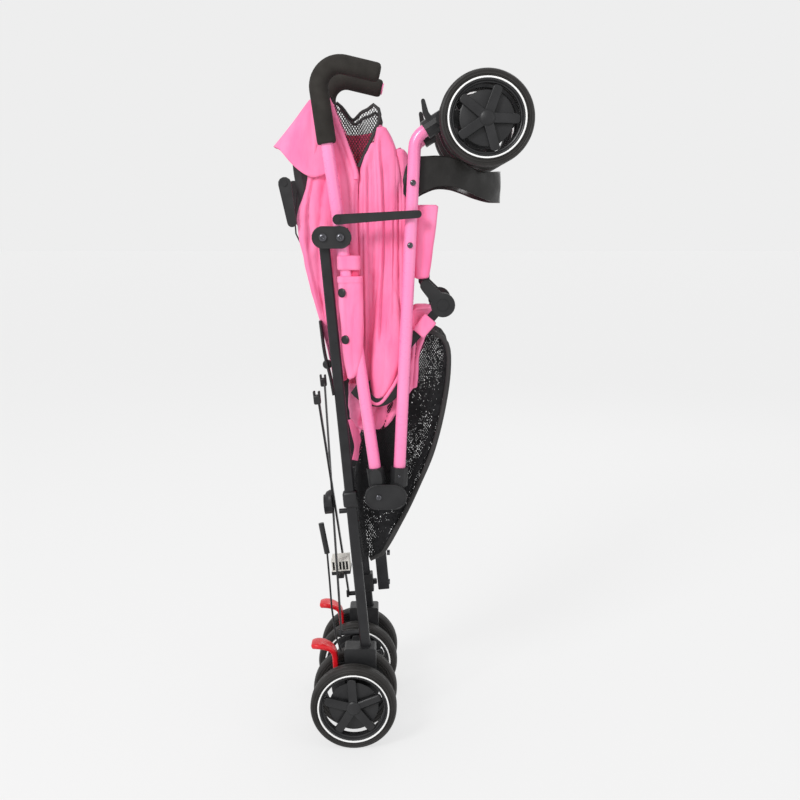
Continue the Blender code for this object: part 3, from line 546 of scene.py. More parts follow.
def fasten(name, place, radius, side, body, finish="rivet_steel"):
    """A copy of the rivet at a place, facing out of that side."""
    rivet = bpy.data.objects.new(name, rivet_pattern.data.copy())
    bpy.context.scene.collection.objects.link(rivet)
    rivet.scale = (radius, radius * (1 if side == "right" else -1), radius)
    rivet.location = place
    if side == "left":
        rivet.data.flip_normals()
    settle(rivet, 40)
    mount(rivet, finish, body)


BRACKET_FACE = 0.1052             # outer face of the oval bracket
KNEE_FACE = 0.1092                # and of the knee's cover
SOCKET_FACE = 0.1027              # and of the sockets above it
LEG_FACE = 0.0985                 # and of the front leg
SOCKET_SCREW_HEIGHT = 0.4480
LEG_RIVETS = (0.348, 0.441)       # up the front leg from its lower end
for side in SIDES:
    handle_body, leg_body = f"handle_{side}", f"front_leg_{side}"
    for index, place in enumerate((FOLD_PIVOT, HANDLE_SCREW)):
        fasten(f"bracket_rivet_{side}_{index}", on_side(place, side, BRACKET_FACE + 0.001), 0.0062, side, handle_body)
    fasten(f"knee_screw_{side}", on_side(KNEE, side, KNEE_FACE), 0.0045, side, handle_body)
    for index, along in enumerate(LEG_RIVETS):
        place = FRONT_FOOT + FRONT_UP * along
        fasten(f"leg_rivet_{side}_{index}", on_side(place, side, LEG_FACE), 0.0045, side, leg_body)
    for tube, place, body in (("handle", handle_at(SOCKET_SCREW_HEIGHT), handle_body),
                              ("leg", front_leg_at(SOCKET_SCREW_HEIGHT), leg_body)):
        fasten(f"{tube}_socket_screw_{side}", on_side(place, side, SOCKET_FACE), 0.0022, side, body)
print("rivets placed")

# %% [markdown]
# ## Wheels
# A wheel is a rubber tyre with ribbed side walls on a plastic rim with five rounded spokes, and a thin white
# ring where the two meet. Anything round starts as a profile, a closed loop of points, which the spin
# operator turns about the axle. One tyre and one rim are made, and each of the eight wheels gets copies.

# %% Spin helper
WHEEL_STEPS = 80


def spun(name, profile, steps=WHEEL_STEPS):
    """A ring about the Y axis from a closed loop of (across, radius)."""
    deselect()
    bpy.ops.mesh.primitive_circle_add(vertices=len(profile), radius=1, fill_type="NOTHING")
    ring = bpy.context.object
    ring.name = name
    for vertex, (across, radius) in zip(ring.data.vertices, profile):
        vertex.co = (radius, across, 0)
    bpy.ops.object.mode_set(mode="EDIT")
    bpy.ops.mesh.select_all(action="SELECT")
    bpy.ops.mesh.spin(steps=steps, angle=2 * pi, center=(0, 0, 0), axis=(0, 1, 0))
    bpy.ops.object.mode_set(mode="OBJECT")
    tidy_mesh(ring)
    return settle(ring, 32)


def mirrored(profile):
    """The profile's left half, carried over to its right half."""
    return profile + [(-across, radius) for across, radius in reversed(profile) if across]


TYRE_WALL = [(-0.0102, 0.0560), (-0.0117, 0.0572), (-0.0119, 0.0590), (-0.0110, 0.0598), (-0.0110, 0.0606),
             (-0.0120, 0.0614), (-0.0120, 0.0634), (-0.0112, 0.0642), (-0.0112, 0.0648), (-0.0117, 0.0656),
             (-0.0108, 0.0678), (-0.0085, 0.0693), (-0.0062, 0.0699), (-0.0056, 0.0690), (-0.0050, 0.0690),
             (-0.0044, 0.0700), (-0.0008, 0.0700), (-0.0005, 0.0692)]
tyre_pattern = spun("tyre_pattern", mirrored(TYRE_WALL))
RIM_PROFILE = [(-0.0098, 0.0561), (-0.0106, 0.0556), (-0.0107, 0.0545), (-0.0098, 0.0528), (-0.0070, 0.0512),
               (-0.0062, 0.0496), (-0.0030, 0.0490), (0.0060, 0.0494), (0.0100, 0.0510), (0.0100, 0.0561)]
RING_PROFILE = [(-0.0108, 0.0582), (-0.0122, 0.0580), (-0.0126, 0.0569), (-0.0122, 0.0558), (-0.0104, 0.0555)]
print("tyre:", len(tyre_pattern.data.polygons), "faces")

# %% Rim with five rounded spokes
SPOKE_COUNT = 5
SPOKE_LENGTH = 0.0485
SPOKE_WIDTH = 0.0148
SPOKE_DEPTH = 0.0062
SPOKE_LANE = -0.0062              # middle of a spoke's depth, from the middle of the wheel


def make_rim(spoke_angle):
    ring = spun("rim_ring", RIM_PROFILE)
    hub = spun("rim_hub", [(-0.0125, 0.0001), (-0.0124, 0.0078), (-0.0116, 0.0092), (-0.0112, 0.0102),
                           (-0.0100, 0.0114), (0.0096, 0.0120), (0.0106, 0.0100), (0.0106, 0.0050), (0.0060, 0.0045)],
                           40)
    web = spun("rim_web", [(0.0016, 0.0100), (-0.0010, 0.0110), (-0.0014, 0.0380), (-0.0006, 0.0402),
                           (0.0008, 0.0402), (0.0016, 0.0385)])
    parts = [ring, hub, web]
    for index in range(SPOKE_COUNT):
        deselect()
        bpy.ops.mesh.primitive_cube_add(size=1, location=(SPOKE_LENGTH / 2, SPOKE_LANE, 0))
        spoke = bpy.context.object
        bpy.ops.object.mode_set(mode="EDIT")
        bpy.ops.mesh.select_all(action="SELECT")
        bpy.ops.transform.resize(value=(SPOKE_LENGTH, SPOKE_DEPTH, SPOKE_WIDTH))
        bpy.ops.object.mode_set(mode="OBJECT")
        settle(spoke, 40)
        for vertex in spoke.data.vertices:
            if vertex.co.x > SPOKE_LENGTH / 2:
                vertex.co.z *= 0.94
                vertex.co.y += 0.0006
        for edge in spoke.data.edges:
            ends = [spoke.data.vertices[i].co for i in edge.vertices]
            edge.select = abs(ends[0].y - ends[1].y) > 0.003 and ends[0].x > SPOKE_LENGTH / 2
        for face in spoke.data.polygons:
            face.select = False
        bpy.ops.object.mode_set(mode="EDIT")
        bpy.ops.mesh.select_mode(type="EDGE")
        bpy.ops.mesh.bevel(offset=0.0047, segments=4)
        bpy.ops.object.mode_set(mode="OBJECT")
        apply_modifier(spoke, "BEVEL", width=0.0011, segments=3, limit_method="ANGLE")
        spoke.rotation_euler = (0, -spoke_angle - 2 * pi * index / SPOKE_COUNT, 0)
        parts.append(settle(spoke, 40))
    return join(parts, "rim_pattern")


rims = {"rear": make_rim(radians(22)), "front": make_rim(radians(-2))}
ring_pattern = spun("ring_pattern", RING_PROFILE)
print("rim:", len(rims["rear"].data.polygons), "faces")

# %% Eight wheels


def place_copy(pattern, name, centre, faces_left):
    """A copy about a wheel's centre, mirrored where its face looks left."""
    piece = bpy.data.objects.new(name, pattern.data.copy())
    bpy.context.scene.collection.objects.link(piece)
    piece.data.transform(Matrix.Translation(centre) @ Matrix.Diagonal((1, -1 if faces_left else 1, 1, 1)))
    if faces_left:
        piece.data.flip_normals()
    return piece


for end in ("rear", "front"):
    for side in SIDES:
        for place in ("outer", "inner"):
            wheel = f"{side}_{place}"
            low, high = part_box(f"{end}_tyre_{wheel}")
            centre = (low + high) / 2
            faces_left = (side == "left") == (place == "outer")
            tyre = place_copy(tyre_pattern, f"{end}_rubber_{wheel}", centre, faces_left)
            rim = place_copy(rims[end], f"{end}_spokes_{wheel}", centre, faces_left)
            ring = place_copy(ring_pattern, f"{end}_ring_{wheel}", centre, faces_left)
            body = f"{end}_wheel_{wheel}"
            mount(tyre, "tyre_black", body, node=f"{end}_tyre_{wheel}")
            mount(rim, "moulded_black", body, node=f"{end}_rim_{wheel}")
            mount(ring, "ring_white", body)
for pattern in (tyre_pattern, ring_pattern, *rims.values()):
    bpy.data.objects.remove(pattern)
print("eight wheels")

# %% [markdown]
# ## Gathered cloth
# When the frame folds, the cloth between the side frames gathers into upright folds. Each bundle of folds is
# made as a loft: a rounded section at many heights, whose back and front edges follow smooth lines, with
# creases pressed in along lines of their own and fine crumples over it all. The section is a closed loop, so
# the bundle looks right from the front, the back and both sides.

# %% Smooth lines


def line_value(stops, at):
    """The value at one height on a smooth line through (height, value) stops, lowest first."""
    if at <= stops[0][0]:
        return stops[0][1]
    if at >= stops[-1][0]:
        return stops[-1][1]
    index = next(i for i in range(len(stops) - 1) if at <= stops[i + 1][0])
    (h0, a), (h1, b) = stops[index], stops[index + 1]
    h_before, before = stops[max(index - 1, 0)]
    h_after, after = stops[min(index + 2, len(stops) - 1)]
    span = h1 - h0
    slope_a = (b - before) / (h1 - h_before) * span
    slope_b = (after - a) / (h_after - h0) * span
    t = (at - h0) / span
    return ((2 * t**3 - 3 * t**2 + 1) * a + (t**3 - 2 * t**2 + t) * slope_a
            + (3 * t**2 - 2 * t**3) * b + (t**3 - t**2) * slope_b)


def smooth_columns(rows):
    """One smooth line for each number of the rows, by the row's place in the list."""
    return [list(enumerate(column)) for column in zip(*rows)]


def row_at(columns, at):
    """The numbers of a row that lies anywhere between two rows."""
    return [line_value(column, at) for column in columns]


def rounded_loop(back, front, half, corner, count):
    """Evenly spaced (x, y) round a rounded rectangle, with the outward direction at each."""
    corner = min(corner, (front - back) * 0.49, half * 0.49)
    outline = []
    for cx, cy, start in ((front - corner, half - corner, 0), (back + corner, half - corner, pi / 2),
                          (back + corner, corner - half, pi), (front - corner, corner - half, 3 * pi / 2)):
        for step in range(9):
            angle = start + pi / 2 * step / 8
            outline.append(Vector((cx + corner * cos(angle), cy + corner * sin(angle), 0)))
    lengths = [(outline[(i + 1) % len(outline)] - p).length for i, p in enumerate(outline)]
    step_length = sum(lengths) / count
    points, index, used = [], 0, 0.0
    for k in range(count):
        target = k * step_length
        while used + lengths[index] < target:
            used += lengths[index]
            index += 1
        share = (target - used) / max(lengths[index], 1e-9)
        points.append(outline[index].lerp(outline[(index + 1) % len(outline)], share))
    loop = []
    for k, point in enumerate(points):
        along = points[(k + 1) % count] - points[k - 1]
        loop.append((point, Vector((along.y, -along.x, 0)).normalized()))
    return loop


print("smooth lines ready")

# %% Loft helper


def crease_depth(creases, x, z):
    """How far the creases press the cloth in at a place. Each is (line, depth, sharp side, soft side)."""
    depth = 0.0
    for line, deep, sharp, soft in creases:
        low, high = line[0][0], line[-1][0]
        fade = max(0.0, min(1.0, (z - low) / 0.02 + 0.3, (high - z) / 0.02 + 0.3))
        offset = x - line_value(line, z)
        depth += deep * fade * exp(-abs(offset) / (sharp if offset < 0 else soft))
    return depth


def gathered(name, low, high, back, front, half, creases=(), crumple=0.0012, corner=0.012,
             end_round=0.008, around=150, rows=70, streak=(55, 55, 9), middle=0.0):
    """A bundle of gathered cloth from height low to high, about Y = middle."""
    deselect()
    bpy.ops.mesh.primitive_grid_add(x_subdivisions=around, y_subdivisions=rows, size=1)
    bundle = bpy.context.object
    bundle.name = name
    rings = []
    for row in range(rows + 1):
        z = low + (high - low) * row / rows
        into = max(0.0, 1 - (z - low) / end_round, 1 - (high - z) / end_round)
        inset = end_round * (1 - sqrt(max(0.0, 1 - into * into)))
        section_back = line_value(back, z) + inset
        section_front = max(line_value(front, z) - inset, section_back + 0.003)
        width = (line_value(half, z) if hasattr(half, "__len__") else half) - inset
        rings.append([(p, n, z) for p, n in rounded_loop(section_back, section_front, width, corner, around)])
    for vertex in bundle.data.vertices:
        column = round((vertex.co.x + 0.5) * around) % around
        row = round((vertex.co.y + 0.5) * rows)
        point, outward, z = rings[row][column]
        push = crumple * noise.noise(Vector((point.x * streak[0], point.y * streak[1], z * streak[2])))
        push += crumple * 0.5 * noise.noise(Vector((point.x * 130, point.y * 130 + 7, z * 34)))
        push -= crease_depth(creases, point.x, z) * abs(outward.y)
        vertex.co = (point.x + outward.x * push, point.y + outward.y * push + middle, z)
    tidy_mesh(bundle)
    return settle(bundle)


def bundle_of(piece, finish="fabric_pink", node=None):
    """Dresses a closed bundle. node is the mechanical node whose place it takes."""
    dress(piece, finish)
    if node:
        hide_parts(node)
    return piece


def hangs_between(piece):
    """Cloth that hangs between both side frames: its place is put into its mesh."""
    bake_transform(piece)


print("loft helper ready")

# %% [markdown]
# ## Sheets
# A single layer of cloth, vinyl or net is a flat grid whose corners are laid on a drawn surface and then given a
# thickness. Its flat size is measured on that surface: the longest row is its width, and its area divided by
# the width is its length.

# %% Sheet helper


def grid_on(name, across, along, place):
    """A grid laid on a surface: place(u, v) gives the point, with u and v from 0 to 1."""
    deselect()
    bpy.ops.mesh.primitive_grid_add(x_subdivisions=across, y_subdivisions=along, size=1)
    grid = bpy.context.object
    grid.name = name
    for vertex in grid.data.vertices:
        vertex.co = place(vertex.co.x + 0.5, vertex.co.y + 0.5)
    return grid


def draped(name, across, along, place, thickness=0.0012):
    """A sheet on a surface, with its flat width and length."""
    cloth = grid_on(name, across, along, place)
    area = sum(face.area for face in cloth.data.polygons)
    rows = [[Vector(place(i / across, j / along)) for i in range(across + 1)] for j in (0, along // 2, along)]
    width = max(sum((b - a).length for a, b in zip(row, row[1:])) for row in rows)
    length = area / width
    apply_modifier(cloth, "SOLIDIFY", thickness=thickness, offset=0)
    settle(cloth)
    print(f"{name}: flat {width:.3f} x {length:.3f} m")
    return cloth, (width, length)


print("sheet helpers ready")

# %% [markdown]
# ## Backrest
# The backrest's cloth fills the space behind the handles, from the top hem down to a narrow tail above the
# brace. Two long folds run down from the grip, and the rear edge bulges where the recline strap pulls it.

# %% Backrest
back_edge = [(0.588, -0.1000), (0.620, -0.1060), (0.6590, -0.1135), (0.7190, -0.1285), (0.7880, -0.1440),
             (0.8300, -0.1520), (0.8500, -0.1530), (0.8800, -0.1440), (0.9277, -0.1335), (0.9700, -0.1325),
             (1.0280, -0.1280)]
wing_edge = [(0.588, -0.0800), (0.640, -0.0750), (0.700, -0.0640), (0.760, -0.0540), (0.800, -0.0560),
             (0.860, -0.0560), (0.9000, -0.0555), (0.9200, -0.0567), (0.9734, -0.0761), (1.0280, -0.0980)]
back_creases = [
    ([(0.800, -0.1330), (0.877, -0.1340), (0.955, -0.1177)], 0.0080, 0.0016, 0.0070),
    ([(0.640, -0.1080), (0.760, -0.1180), (0.860, -0.1140), (0.950, -0.1000)], 0.0070, 0.0070, 0.0018),
    ([(0.690, -0.1180), (0.760, -0.1290), (0.830, -0.1400)], 0.0060, 0.0016, 0.0080),
    ([(0.700, -0.0920), (0.820, -0.0980), (0.940, -0.0860)], 0.0060, 0.0020, 0.0060),
    ([(0.800, -0.0720), (0.880, -0.0700), (0.930, -0.0780), (0.985, -0.0960)], 0.0060, 0.0070, 0.0016),
    ([(0.820, -0.0640), (0.870, -0.0610), (0.900, -0.0600)], 0.0050, 0.0020, 0.0040),
    ([(0.660, -0.1080), (0.700, -0.1120), (0.740, -0.1190)], 0.0060, 0.0016, 0.0040),
]
back_half = [(0.59, 0.050), (0.70, 0.062), (1.028, 0.061)]
backrest = gathered("backrest_cloth", 0.588, 1.028, back_edge, wing_edge, back_half, back_creases,
                    crumple=0.0026, rows=120, around=170)
bundle_of(backrest, node="backrest")
hangs_between(backrest)
print("backrest:", len(backrest.data.polygons), "faces")

# %% [markdown]
# ## Hood
# Folded, the hood is a stack of four deep pleats that hang side by side, each a fold of the same canopy with
# a rounded top. They are made one by one, because each has its own height and lies a little behind the next.

# %% Hood pleats
# the tip is wider than the rest, because it covers the seat rails
TIP_HALF = [(0.560, 0.0780), (0.630, 0.0780), (0.700, 0.0690), (0.760, 0.0640), (0.990, 0.0635)]
pleats = {
    "hood_pleat_rear": dict(
        low=0.5760, high=0.9660, half=0.0615,
        back=[(0.576, -0.0440), (0.5876, -0.0490), (0.660, -0.0560), (0.8156, -0.0580), (0.9067, -0.0560),
              (0.935, -0.0520), (0.966, -0.0420)],
        front=[(0.576, -0.0340), (0.660, -0.0290), (0.8156, -0.0200), (0.9067, -0.0230), (0.966, -0.0240)],
        creases=[([(0.62, -0.0430), (0.78, -0.0420), (0.93, -0.0430)], 0.0080, 0.0012, 0.0060),
                 ([(0.64, -0.0500), (0.80, -0.0510), (0.92, -0.0500)], 0.0060, 0.0030, 0.0016),
                 ([(0.70, -0.0350), (0.8156, -0.0340), (0.95, -0.0340)], 0.0070, 0.0050, 0.0012)]),
    "hood_pleat_top": dict(
        low=0.5610, high=0.9890, half=TIP_HALF, end_round=0.006,
        back=[(0.561, -0.0370), (0.600, -0.0400), (0.660, -0.0360), (0.8156, -0.0270), (0.9067, -0.0300),
              (0.955, -0.0340), (0.989, -0.0290)],
        front=[(0.561, -0.0250), (0.5714, -0.0150), (0.600, 0.0010), (0.640, 0.0130), (0.680, 0.0100),
               (0.740, 0.0040), (0.8156, 0.0045), (0.9067, 0.0050),
               (0.9371, 0.0040), (0.9595, -0.0003), (0.9744, -0.0070), (0.989, -0.0150)],
        creases=[([(0.66, -0.0235), (0.70, -0.0230), (0.8156, -0.0180), (0.9067, -0.0200), (0.97, -0.0240)], 0.0100,
                  0.0012, 0.0070),
                 ([(0.66, -0.0120), (0.78, -0.0090), (0.93, -0.0120)], 0.0050, 0.0050, 0.0014),
                 ([(0.57, -0.0230), (0.60, -0.0160), (0.66, -0.0150)], 0.0022, 0.0030, 0.0012),
                 ([(0.68, -0.0040), (0.78, -0.0010), (0.86, -0.0010)], 0.0040, 0.0016, 0.0030)]),
    "hood_pleat_front": dict(
        low=0.5780, high=0.9480, half=0.0605,
        back=[(0.578, -0.0220), (0.660, -0.0140), (0.8156, -0.0060), (0.9067, -0.0040), (0.948, -0.0080)],
        front=[(0.578, -0.0100), (0.600, 0.0040), (0.6357, 0.0140), (0.660, 0.0170), (0.8156, 0.0150),
               (0.9067, 0.0110), (0.948, 0.0030)],
        creases=[([(0.60, 0.0000), (0.66, 0.0050), (0.74, 0.0060), (0.90, 0.0050)], 0.0070, 0.0014, 0.0060)]),
    "hood_pleat_behind": dict(
        low=0.6000, high=0.9560, half=0.0570,
        back=[(0.600, 0.0000), (0.700, 0.0060), (0.900, 0.0040), (0.956, -0.0020)],
        front=[(0.600, 0.0120), (0.6357, 0.0250), (0.700, 0.0266), (0.8767, 0.0262), (0.920, 0.0235),
               (0.9446, 0.0190), (0.956, 0.0130)],
        creases=[([(0.64, 0.0200), (0.80, 0.0190), (0.92, 0.0160)], 0.0050, 0.0014, 0.0040)]),
}
for index, (name, shape) in enumerate(pleats.items()):
    pleat = gathered(name, crumple=0.0016, corner=0.010, rows=100, **shape)
    bundle_of(pleat, node="hood" if index == 0 else None)
    hangs_between(pleat)
print(len(pleats), "hood pleats")

# %% [markdown]
# ## Hem round the hood's lower edge
# The canopy's edge is turned over and stitched, so a soft round hem runs down one side of the stack, under
# its tip and up the other side. A thin tube along the edge gives it on both faces.

# %% Hood hem
hem_line = [(-0.0545, 0.700), (-0.0550, 0.660), (-0.0530, 0.620), (-0.0480, 0.585), (-0.0400, 0.566),
            (-0.0300, 0.5595),
            (-0.0200, 0.5640), (-0.0080, 0.5800), (0.0040, 0.6000), (0.0150, 0.6240), (0.0220, 0.6480),
            (0.0250, 0.6800)]
HEM_STEPS = 4                     # points from one stop of the line to the next
HEM_SINK = 0.0012                 # how deep the hem lies in the tip's face
hem_columns = smooth_columns(hem_line)
hem_places = [row_at(hem_columns, i / HEM_STEPS) for i in range(HEM_STEPS * (len(hem_line) - 1) + 1)]
hem_points = [Vector((x, 0, z)) for x, z in hem_places]
for side in SIDES:
    edge = [on_side(point, side, line_value(TIP_HALF, point.z) - HEM_SINK) for point in hem_points]
    mount(tube_along(f"hood_hem_{side}", edge, 0.0030), "fabric_pink", f"hood_{side}")
print("hood hem on both faces")

# %% [markdown]
# ## Hood brackets
# On each side a flat black band follows the hood's tip and carries the hood's hinge at its rear end. It is a
# sheet in the side view, made thick and with its edges rounded.

# %% Hood brackets
BRACKET_LINE = [(-0.0640, 0.5860), (-0.0560, 0.5800), (-0.0460, 0.5700), (-0.0300, 0.5620), (-0.0120, 0.5660),
                (0.0020, 0.5800),
                (0.0110, 0.6000), (0.0150, 0.6180)]
BRACKET_LANE = 0.0765             # from the stroller's middle to the band's
BRACKET_HALF = [(0, 0.0105), (1, 0.0120), (2, 0.0100), (3, 0.0070), (5, 0.0060), (7, 0.0045)]


def bracket_place(side, u, v):
    """A flat band in the side view: v along it and u across it."""
    columns = smooth_columns(BRACKET_LINE)
    last = len(BRACKET_LINE) - 1
    at = v * last
    here, ahead, behind = (Vector(row_at(columns, min(max(at + step, 0), last))) for step in (0, 0.1, -0.1))
    along = (ahead - behind).normalized()
    half = line_value(BRACKET_HALF, at) * (2 * u - 1)
    return Vector((here.x - along.y * half, SIDES[side] * BRACKET_LANE, here.y + along.x * half))


for side in SIDES:
    bracket, _ = draped(f"hood_band_{side}", 8, 50, lambda u, v: bracket_place(side, u, v), 0.0040)
    apply_modifier(bracket, "BEVEL", width=0.0008, segments=2, limit_method="ANGLE")
    settle(bracket, 40)
    mount(bracket, "moulded_black", f"hood_{side}", node=f"hood_bracket_{side}")
    screw_place = Vector((-0.0540, SIDES[side] * (BRACKET_LANE + 0.0020), 0.5780))
    fasten(f"hood_band_screw_{side}", screw_place, 0.0030, side, f"hood_{side}")
bpy.data.objects.remove(rivet_pattern)
print("two hood brackets")

# %% [markdown]
# ## Calf rest, seat and tabs
# The calf rest is a narrow padded panel in front of the front legs. The seat's sling is pulled in to a
# crumpled bundle between the handles, and short tabs tie both to the seat rails.

# %% Calf rest and seat
calf = gathered("calf_rest_cloth", 0.7560, 0.8690, [(0.756, 0.0300), (0.80, 0.0290), (0.869, 0.0323)],
                [(0.756, 0.0520), (0.7662, 0.0540), (0.820, 0.0610), (0.869, 0.0665)], 0.0784,
                [([(0.77, 0.0400), (0.86, 0.0470)], 0.0020, 0.004, 0.004)], crumple=0.0012, corner=0.006,
                end_round=0.004)
bundle_of(calf, node="calf_panel")
hangs_between(calf)
seat_tab = gathered("seat_tabs_cloth", 0.5800, 0.7080, [(0.58, 0.0205), (0.64, 0.0255), (0.708, 0.0290)],
                    [(0.58, 0.0360), (0.627, 0.0375), (0.660, 0.0480), (0.69, 0.0600), (0.708, 0.0580)], 0.0600,
                    [([(0.58, 0.0270), (0.63, 0.0310), (0.70, 0.0400)], 0.0060, 0.002, 0.004)], crumple=0.0030,
                    corner=0.006, end_round=0.005, streak=(60, 60, 40))
bundle_of(seat_tab, node="seat")
hangs_between(seat_tab)
sling = gathered("seat_sling_cloth", 0.5120, 0.5900, [(0.512, -0.0600), (0.535, -0.0720), (0.590, -0.0760)],
                 [(0.512, -0.0150), (0.530, -0.0040), (0.555, 0.0120), (0.590, 0.0320)], 0.0625,
                 [([(0.515, -0.0600), (0.55, -0.0480), (0.58, -0.0300)], 0.0080, 0.002, 0.006),
                  ([(0.515, -0.0420), (0.55, -0.0280), (0.58, -0.0020)], 0.0070, 0.004, 0.002),
                  ([(0.515, -0.0200), (0.56, -0.0040), (0.585, 0.0160)], 0.0060, 0.003, 0.003)],
                 crumple=0.0036, corner=0.008, end_round=0.010, rows=50, streak=(30, 30, 75))
bundle_of(sling)
hangs_between(sling)
# a narrow bundle of darker pink set back in the gap between the backrest and the hood pleats: painted shade
painted_shade = gathered("side_gap_painted_shade", 0.5800, 0.6700, [(0.58, -0.0740), (0.67, -0.0700)],
                  [(0.58, -0.0500), (0.67, -0.0480)],
                  0.0520, crumple=0.0020, corner=0.006, end_round=0.004, rows=30)
bundle_of(painted_shade, "fabric_painted_shade")
hangs_between(painted_shade)
print("calf rest, seat tabs, sling and lining")

# %% [markdown]
# ## Basket
# The shopping basket is a bag of fine black net with a bound edge. Its front edge runs in a long curve from
# the calf rest's hinge down to the rear legs. Net is a sheet with clear holes between its threads.

# %% Basket
basket_front = [(0.292, -0.0400), (0.2957, -0.0253), (0.3639, 0.0125), (0.420, 0.0380), (0.4811, 0.0624),
                (0.5629, 0.0811), (0.6274, 0.0870), (0.6593, 0.0800), (0.672, 0.0600)]
basket_back = [(0.292, -0.0520), (0.350, -0.0620), (0.400, -0.0660), (0.450, -0.0640), (0.500, -0.0560),
               (0.540, -0.0300),
               (0.600, 0.0080), (0.672, 0.0266)]
basket = gathered("basket_net", 0.292, 0.672, basket_back, basket_front,
                  [(0.292, 0.045), (0.42, 0.057), (0.500, 0.0565), (0.672, 0.0565)],
                  crumple=0.0040, corner=0.010, end_round=0.006, around=120, rows=80, streak=(22, 22, 12))
bundle_of(basket, "net_fine", node="basket")
hangs_between(basket)
panel = gathered("basket_panel", 0.400, 0.560, [(0.40, -0.0600), (0.50, -0.0520), (0.56, -0.0260)],
                 [(0.40, -0.0100), (0.46, 0.0060), (0.56, 0.0100)], 0.0540, crumple=0.0030, corner=0.008,
                 end_round=0.006,
                 around=90, rows=40, streak=(25, 25, 20))
bundle_of(panel, "binding_black")
hangs_between(panel)
BINDING_STEPS = 40
BINDING_SINK = 0.0018             # how far the binding lies behind the net's front edge
TOP_HALF = 0.0565                 # half width of the basket's top
edge_low, edge_high = basket_front[0][0], basket_front[-1][0]
binding_heights = [edge_low + (edge_high - edge_low) * step / BINDING_STEPS for step in range(BINDING_STEPS + 1)]
binding_half = [(0.292, 0.043), (0.42, 0.056), (0.672, TOP_HALF)]
for side, sign in SIDES.items():
    edge = [Vector((line_value(basket_front, height) - BINDING_SINK, sign * line_value(binding_half, height), height))
            for height in binding_heights]
    edge += [Vector((0.045, sign * TOP_HALF, 0.6715)), Vector((0.0280, sign * TOP_HALF, 0.6700))]
    mount(tube_along(f"basket_binding_{side}", edge, 0.0040), "binding_black", f"frame_{side}")
print("basket:", len(basket.data.polygons), "faces")

# %% [markdown]
# ## Footrest band
# A wide band of black vinyl runs from one front leg round to the other, under the casters. It is one sheet:
# a grid whose columns follow the band in plan, from the right leg to the left one.

# %% Vinyl band
BAND = [  # from the right leg forwards: x, y, lower edge, upper edge
    (0.0120, -0.0775, 0.8850, 0.9060), (0.0180, -0.0780, 0.8790, 0.9290), (0.0300, -0.0785, 0.8800, 0.9395),
    (0.0480, -0.0785, 0.8900, 0.9415), (0.0680, -0.0785, 0.8968, 0.9420), (0.0900, -0.0780, 0.8956, 0.9385),
    (0.1080, -0.0740, 0.8900, 0.9300), (0.1280, -0.0620, 0.8815, 0.9205), (0.1480, -0.0420, 0.8750, 0.9200),
    (0.1620, -0.0210, 0.8735, 0.9215), (0.1670, 0.0000, 0.8730, 0.9225),
]


def band_place(u, v):
    """Point on the band, with u from the right leg to the left one and v up."""
    half = min(u, 1 - u) * 2
    at = half * (len(BAND) - 1)
    x, y, low, high = row_at(smooth_columns(BAND), at)
    bow = 0.004 * sin(pi * v) * sin(pi * half)
    ripple = 0.0015 * noise.noise(Vector((x * 40, v * 2, u * 3)))
    return Vector((x + bow + ripple, (y - ripple) * (1 if u < 0.5 else -1), low + (high - low) * v))


band, band_flat = draped("footrest_vinyl", 120, 16, band_place, 0.0016)
dress(band, "vinyl_black")
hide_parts("footrest_band")
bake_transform(band)

# %% [markdown]
# ## Back flap
# The backrest's top hem hangs over behind the handles as a little cape, open underneath. It is one sheet that
# runs from the right side round the back to the left side.

# %% Back flap
FLAP_FRONT = -0.0986              # where the cape starts on each side
FLAP_TIP = -0.1905                # its rearmost place, at the hem
FLAP_HALF = 0.0640                # half its width at the hem
FLAP_HEM, FLAP_TOP = 0.9215, 1.0300


def flap_place(u, v):
    """u goes round the cape from right to left, and v from the hem up to the top."""
    turn = pi * u
    tip = FLAP_TIP + 0.0560 * v
    half = FLAP_HALF - 0.0100 * v
    reach = abs(sin(turn)) ** 0.62
    x = FLAP_FRONT - (FLAP_FRONT - tip) * reach
    y = -half * (1 if cos(turn) > 0 else -1) * abs(cos(turn)) ** 0.5
    hem = FLAP_HEM + 0.0375 * reach ** 1.2 - 0.026 * sin(pi * min(1.0, reach * 1.15)) * (1 - reach * 0.5)
    top = FLAP_TOP - 0.0030 * reach
    z = hem + (top - hem) * v
    fold = 0.0030 * noise.noise(Vector((x * 26, y * 14, z * 26))) + 0.0014 * sin(90 * (x + 0.6 * z))
    rise = 0.0015 * noise.noise(Vector((x * 40, y * 30, 3)))
    return Vector((x, y + (fold if y < 0 else -fold) * abs(cos(turn)), z + rise))


flap, flap_flat = draped("back_flap_cloth", 110, 34, flap_place, 0.0012)
dress(flap, "fabric_pink")
hangs_between(flap)

# %% [markdown]
# ## Net window in the hood
# A window of open net lies folded in a V between the backrest and the hood, with a black binding round it.
# Each side is a sheet with a valley pressed into it, and the binding is a thin tube along its free edge.

# %% Net window
VENT_LEFT = [(0.0, -0.0581, 0.9264), (1.0, -0.0991, 1.0330)]
VENT_RIGHT = [(0.0, -0.0565, 0.9264), (0.4, -0.0360, 0.9689), (0.8, -0.0232, 1.0010), (0.94, -0.0262, 1.0150),
              (1.0, -0.0330, 1.0190)]


def vent_place(u, v):
    """u from the backrest to the hood, v from the V's bottom to its top."""
    left = [line_value([(row[0], row[k]) for row in VENT_LEFT], v) for k in (1, 2)]
    right = [line_value([(row[0], row[k]) for row in VENT_RIGHT], v) for k in (1, 2)]
    dip = sin(pi * u) ** 1.6 + 0.10 * sin(5 * pi * u)
    x = left[0] + (right[0] - left[0]) * u
    z = left[1] + (right[1] - left[1]) * u - 0.0250 * v * dip
    y = -0.0560 + 0.0220 * v * dip + 0.0030 * noise.noise(Vector((x * 60, z * 60, 1)))
    return Vector((x, y, z))


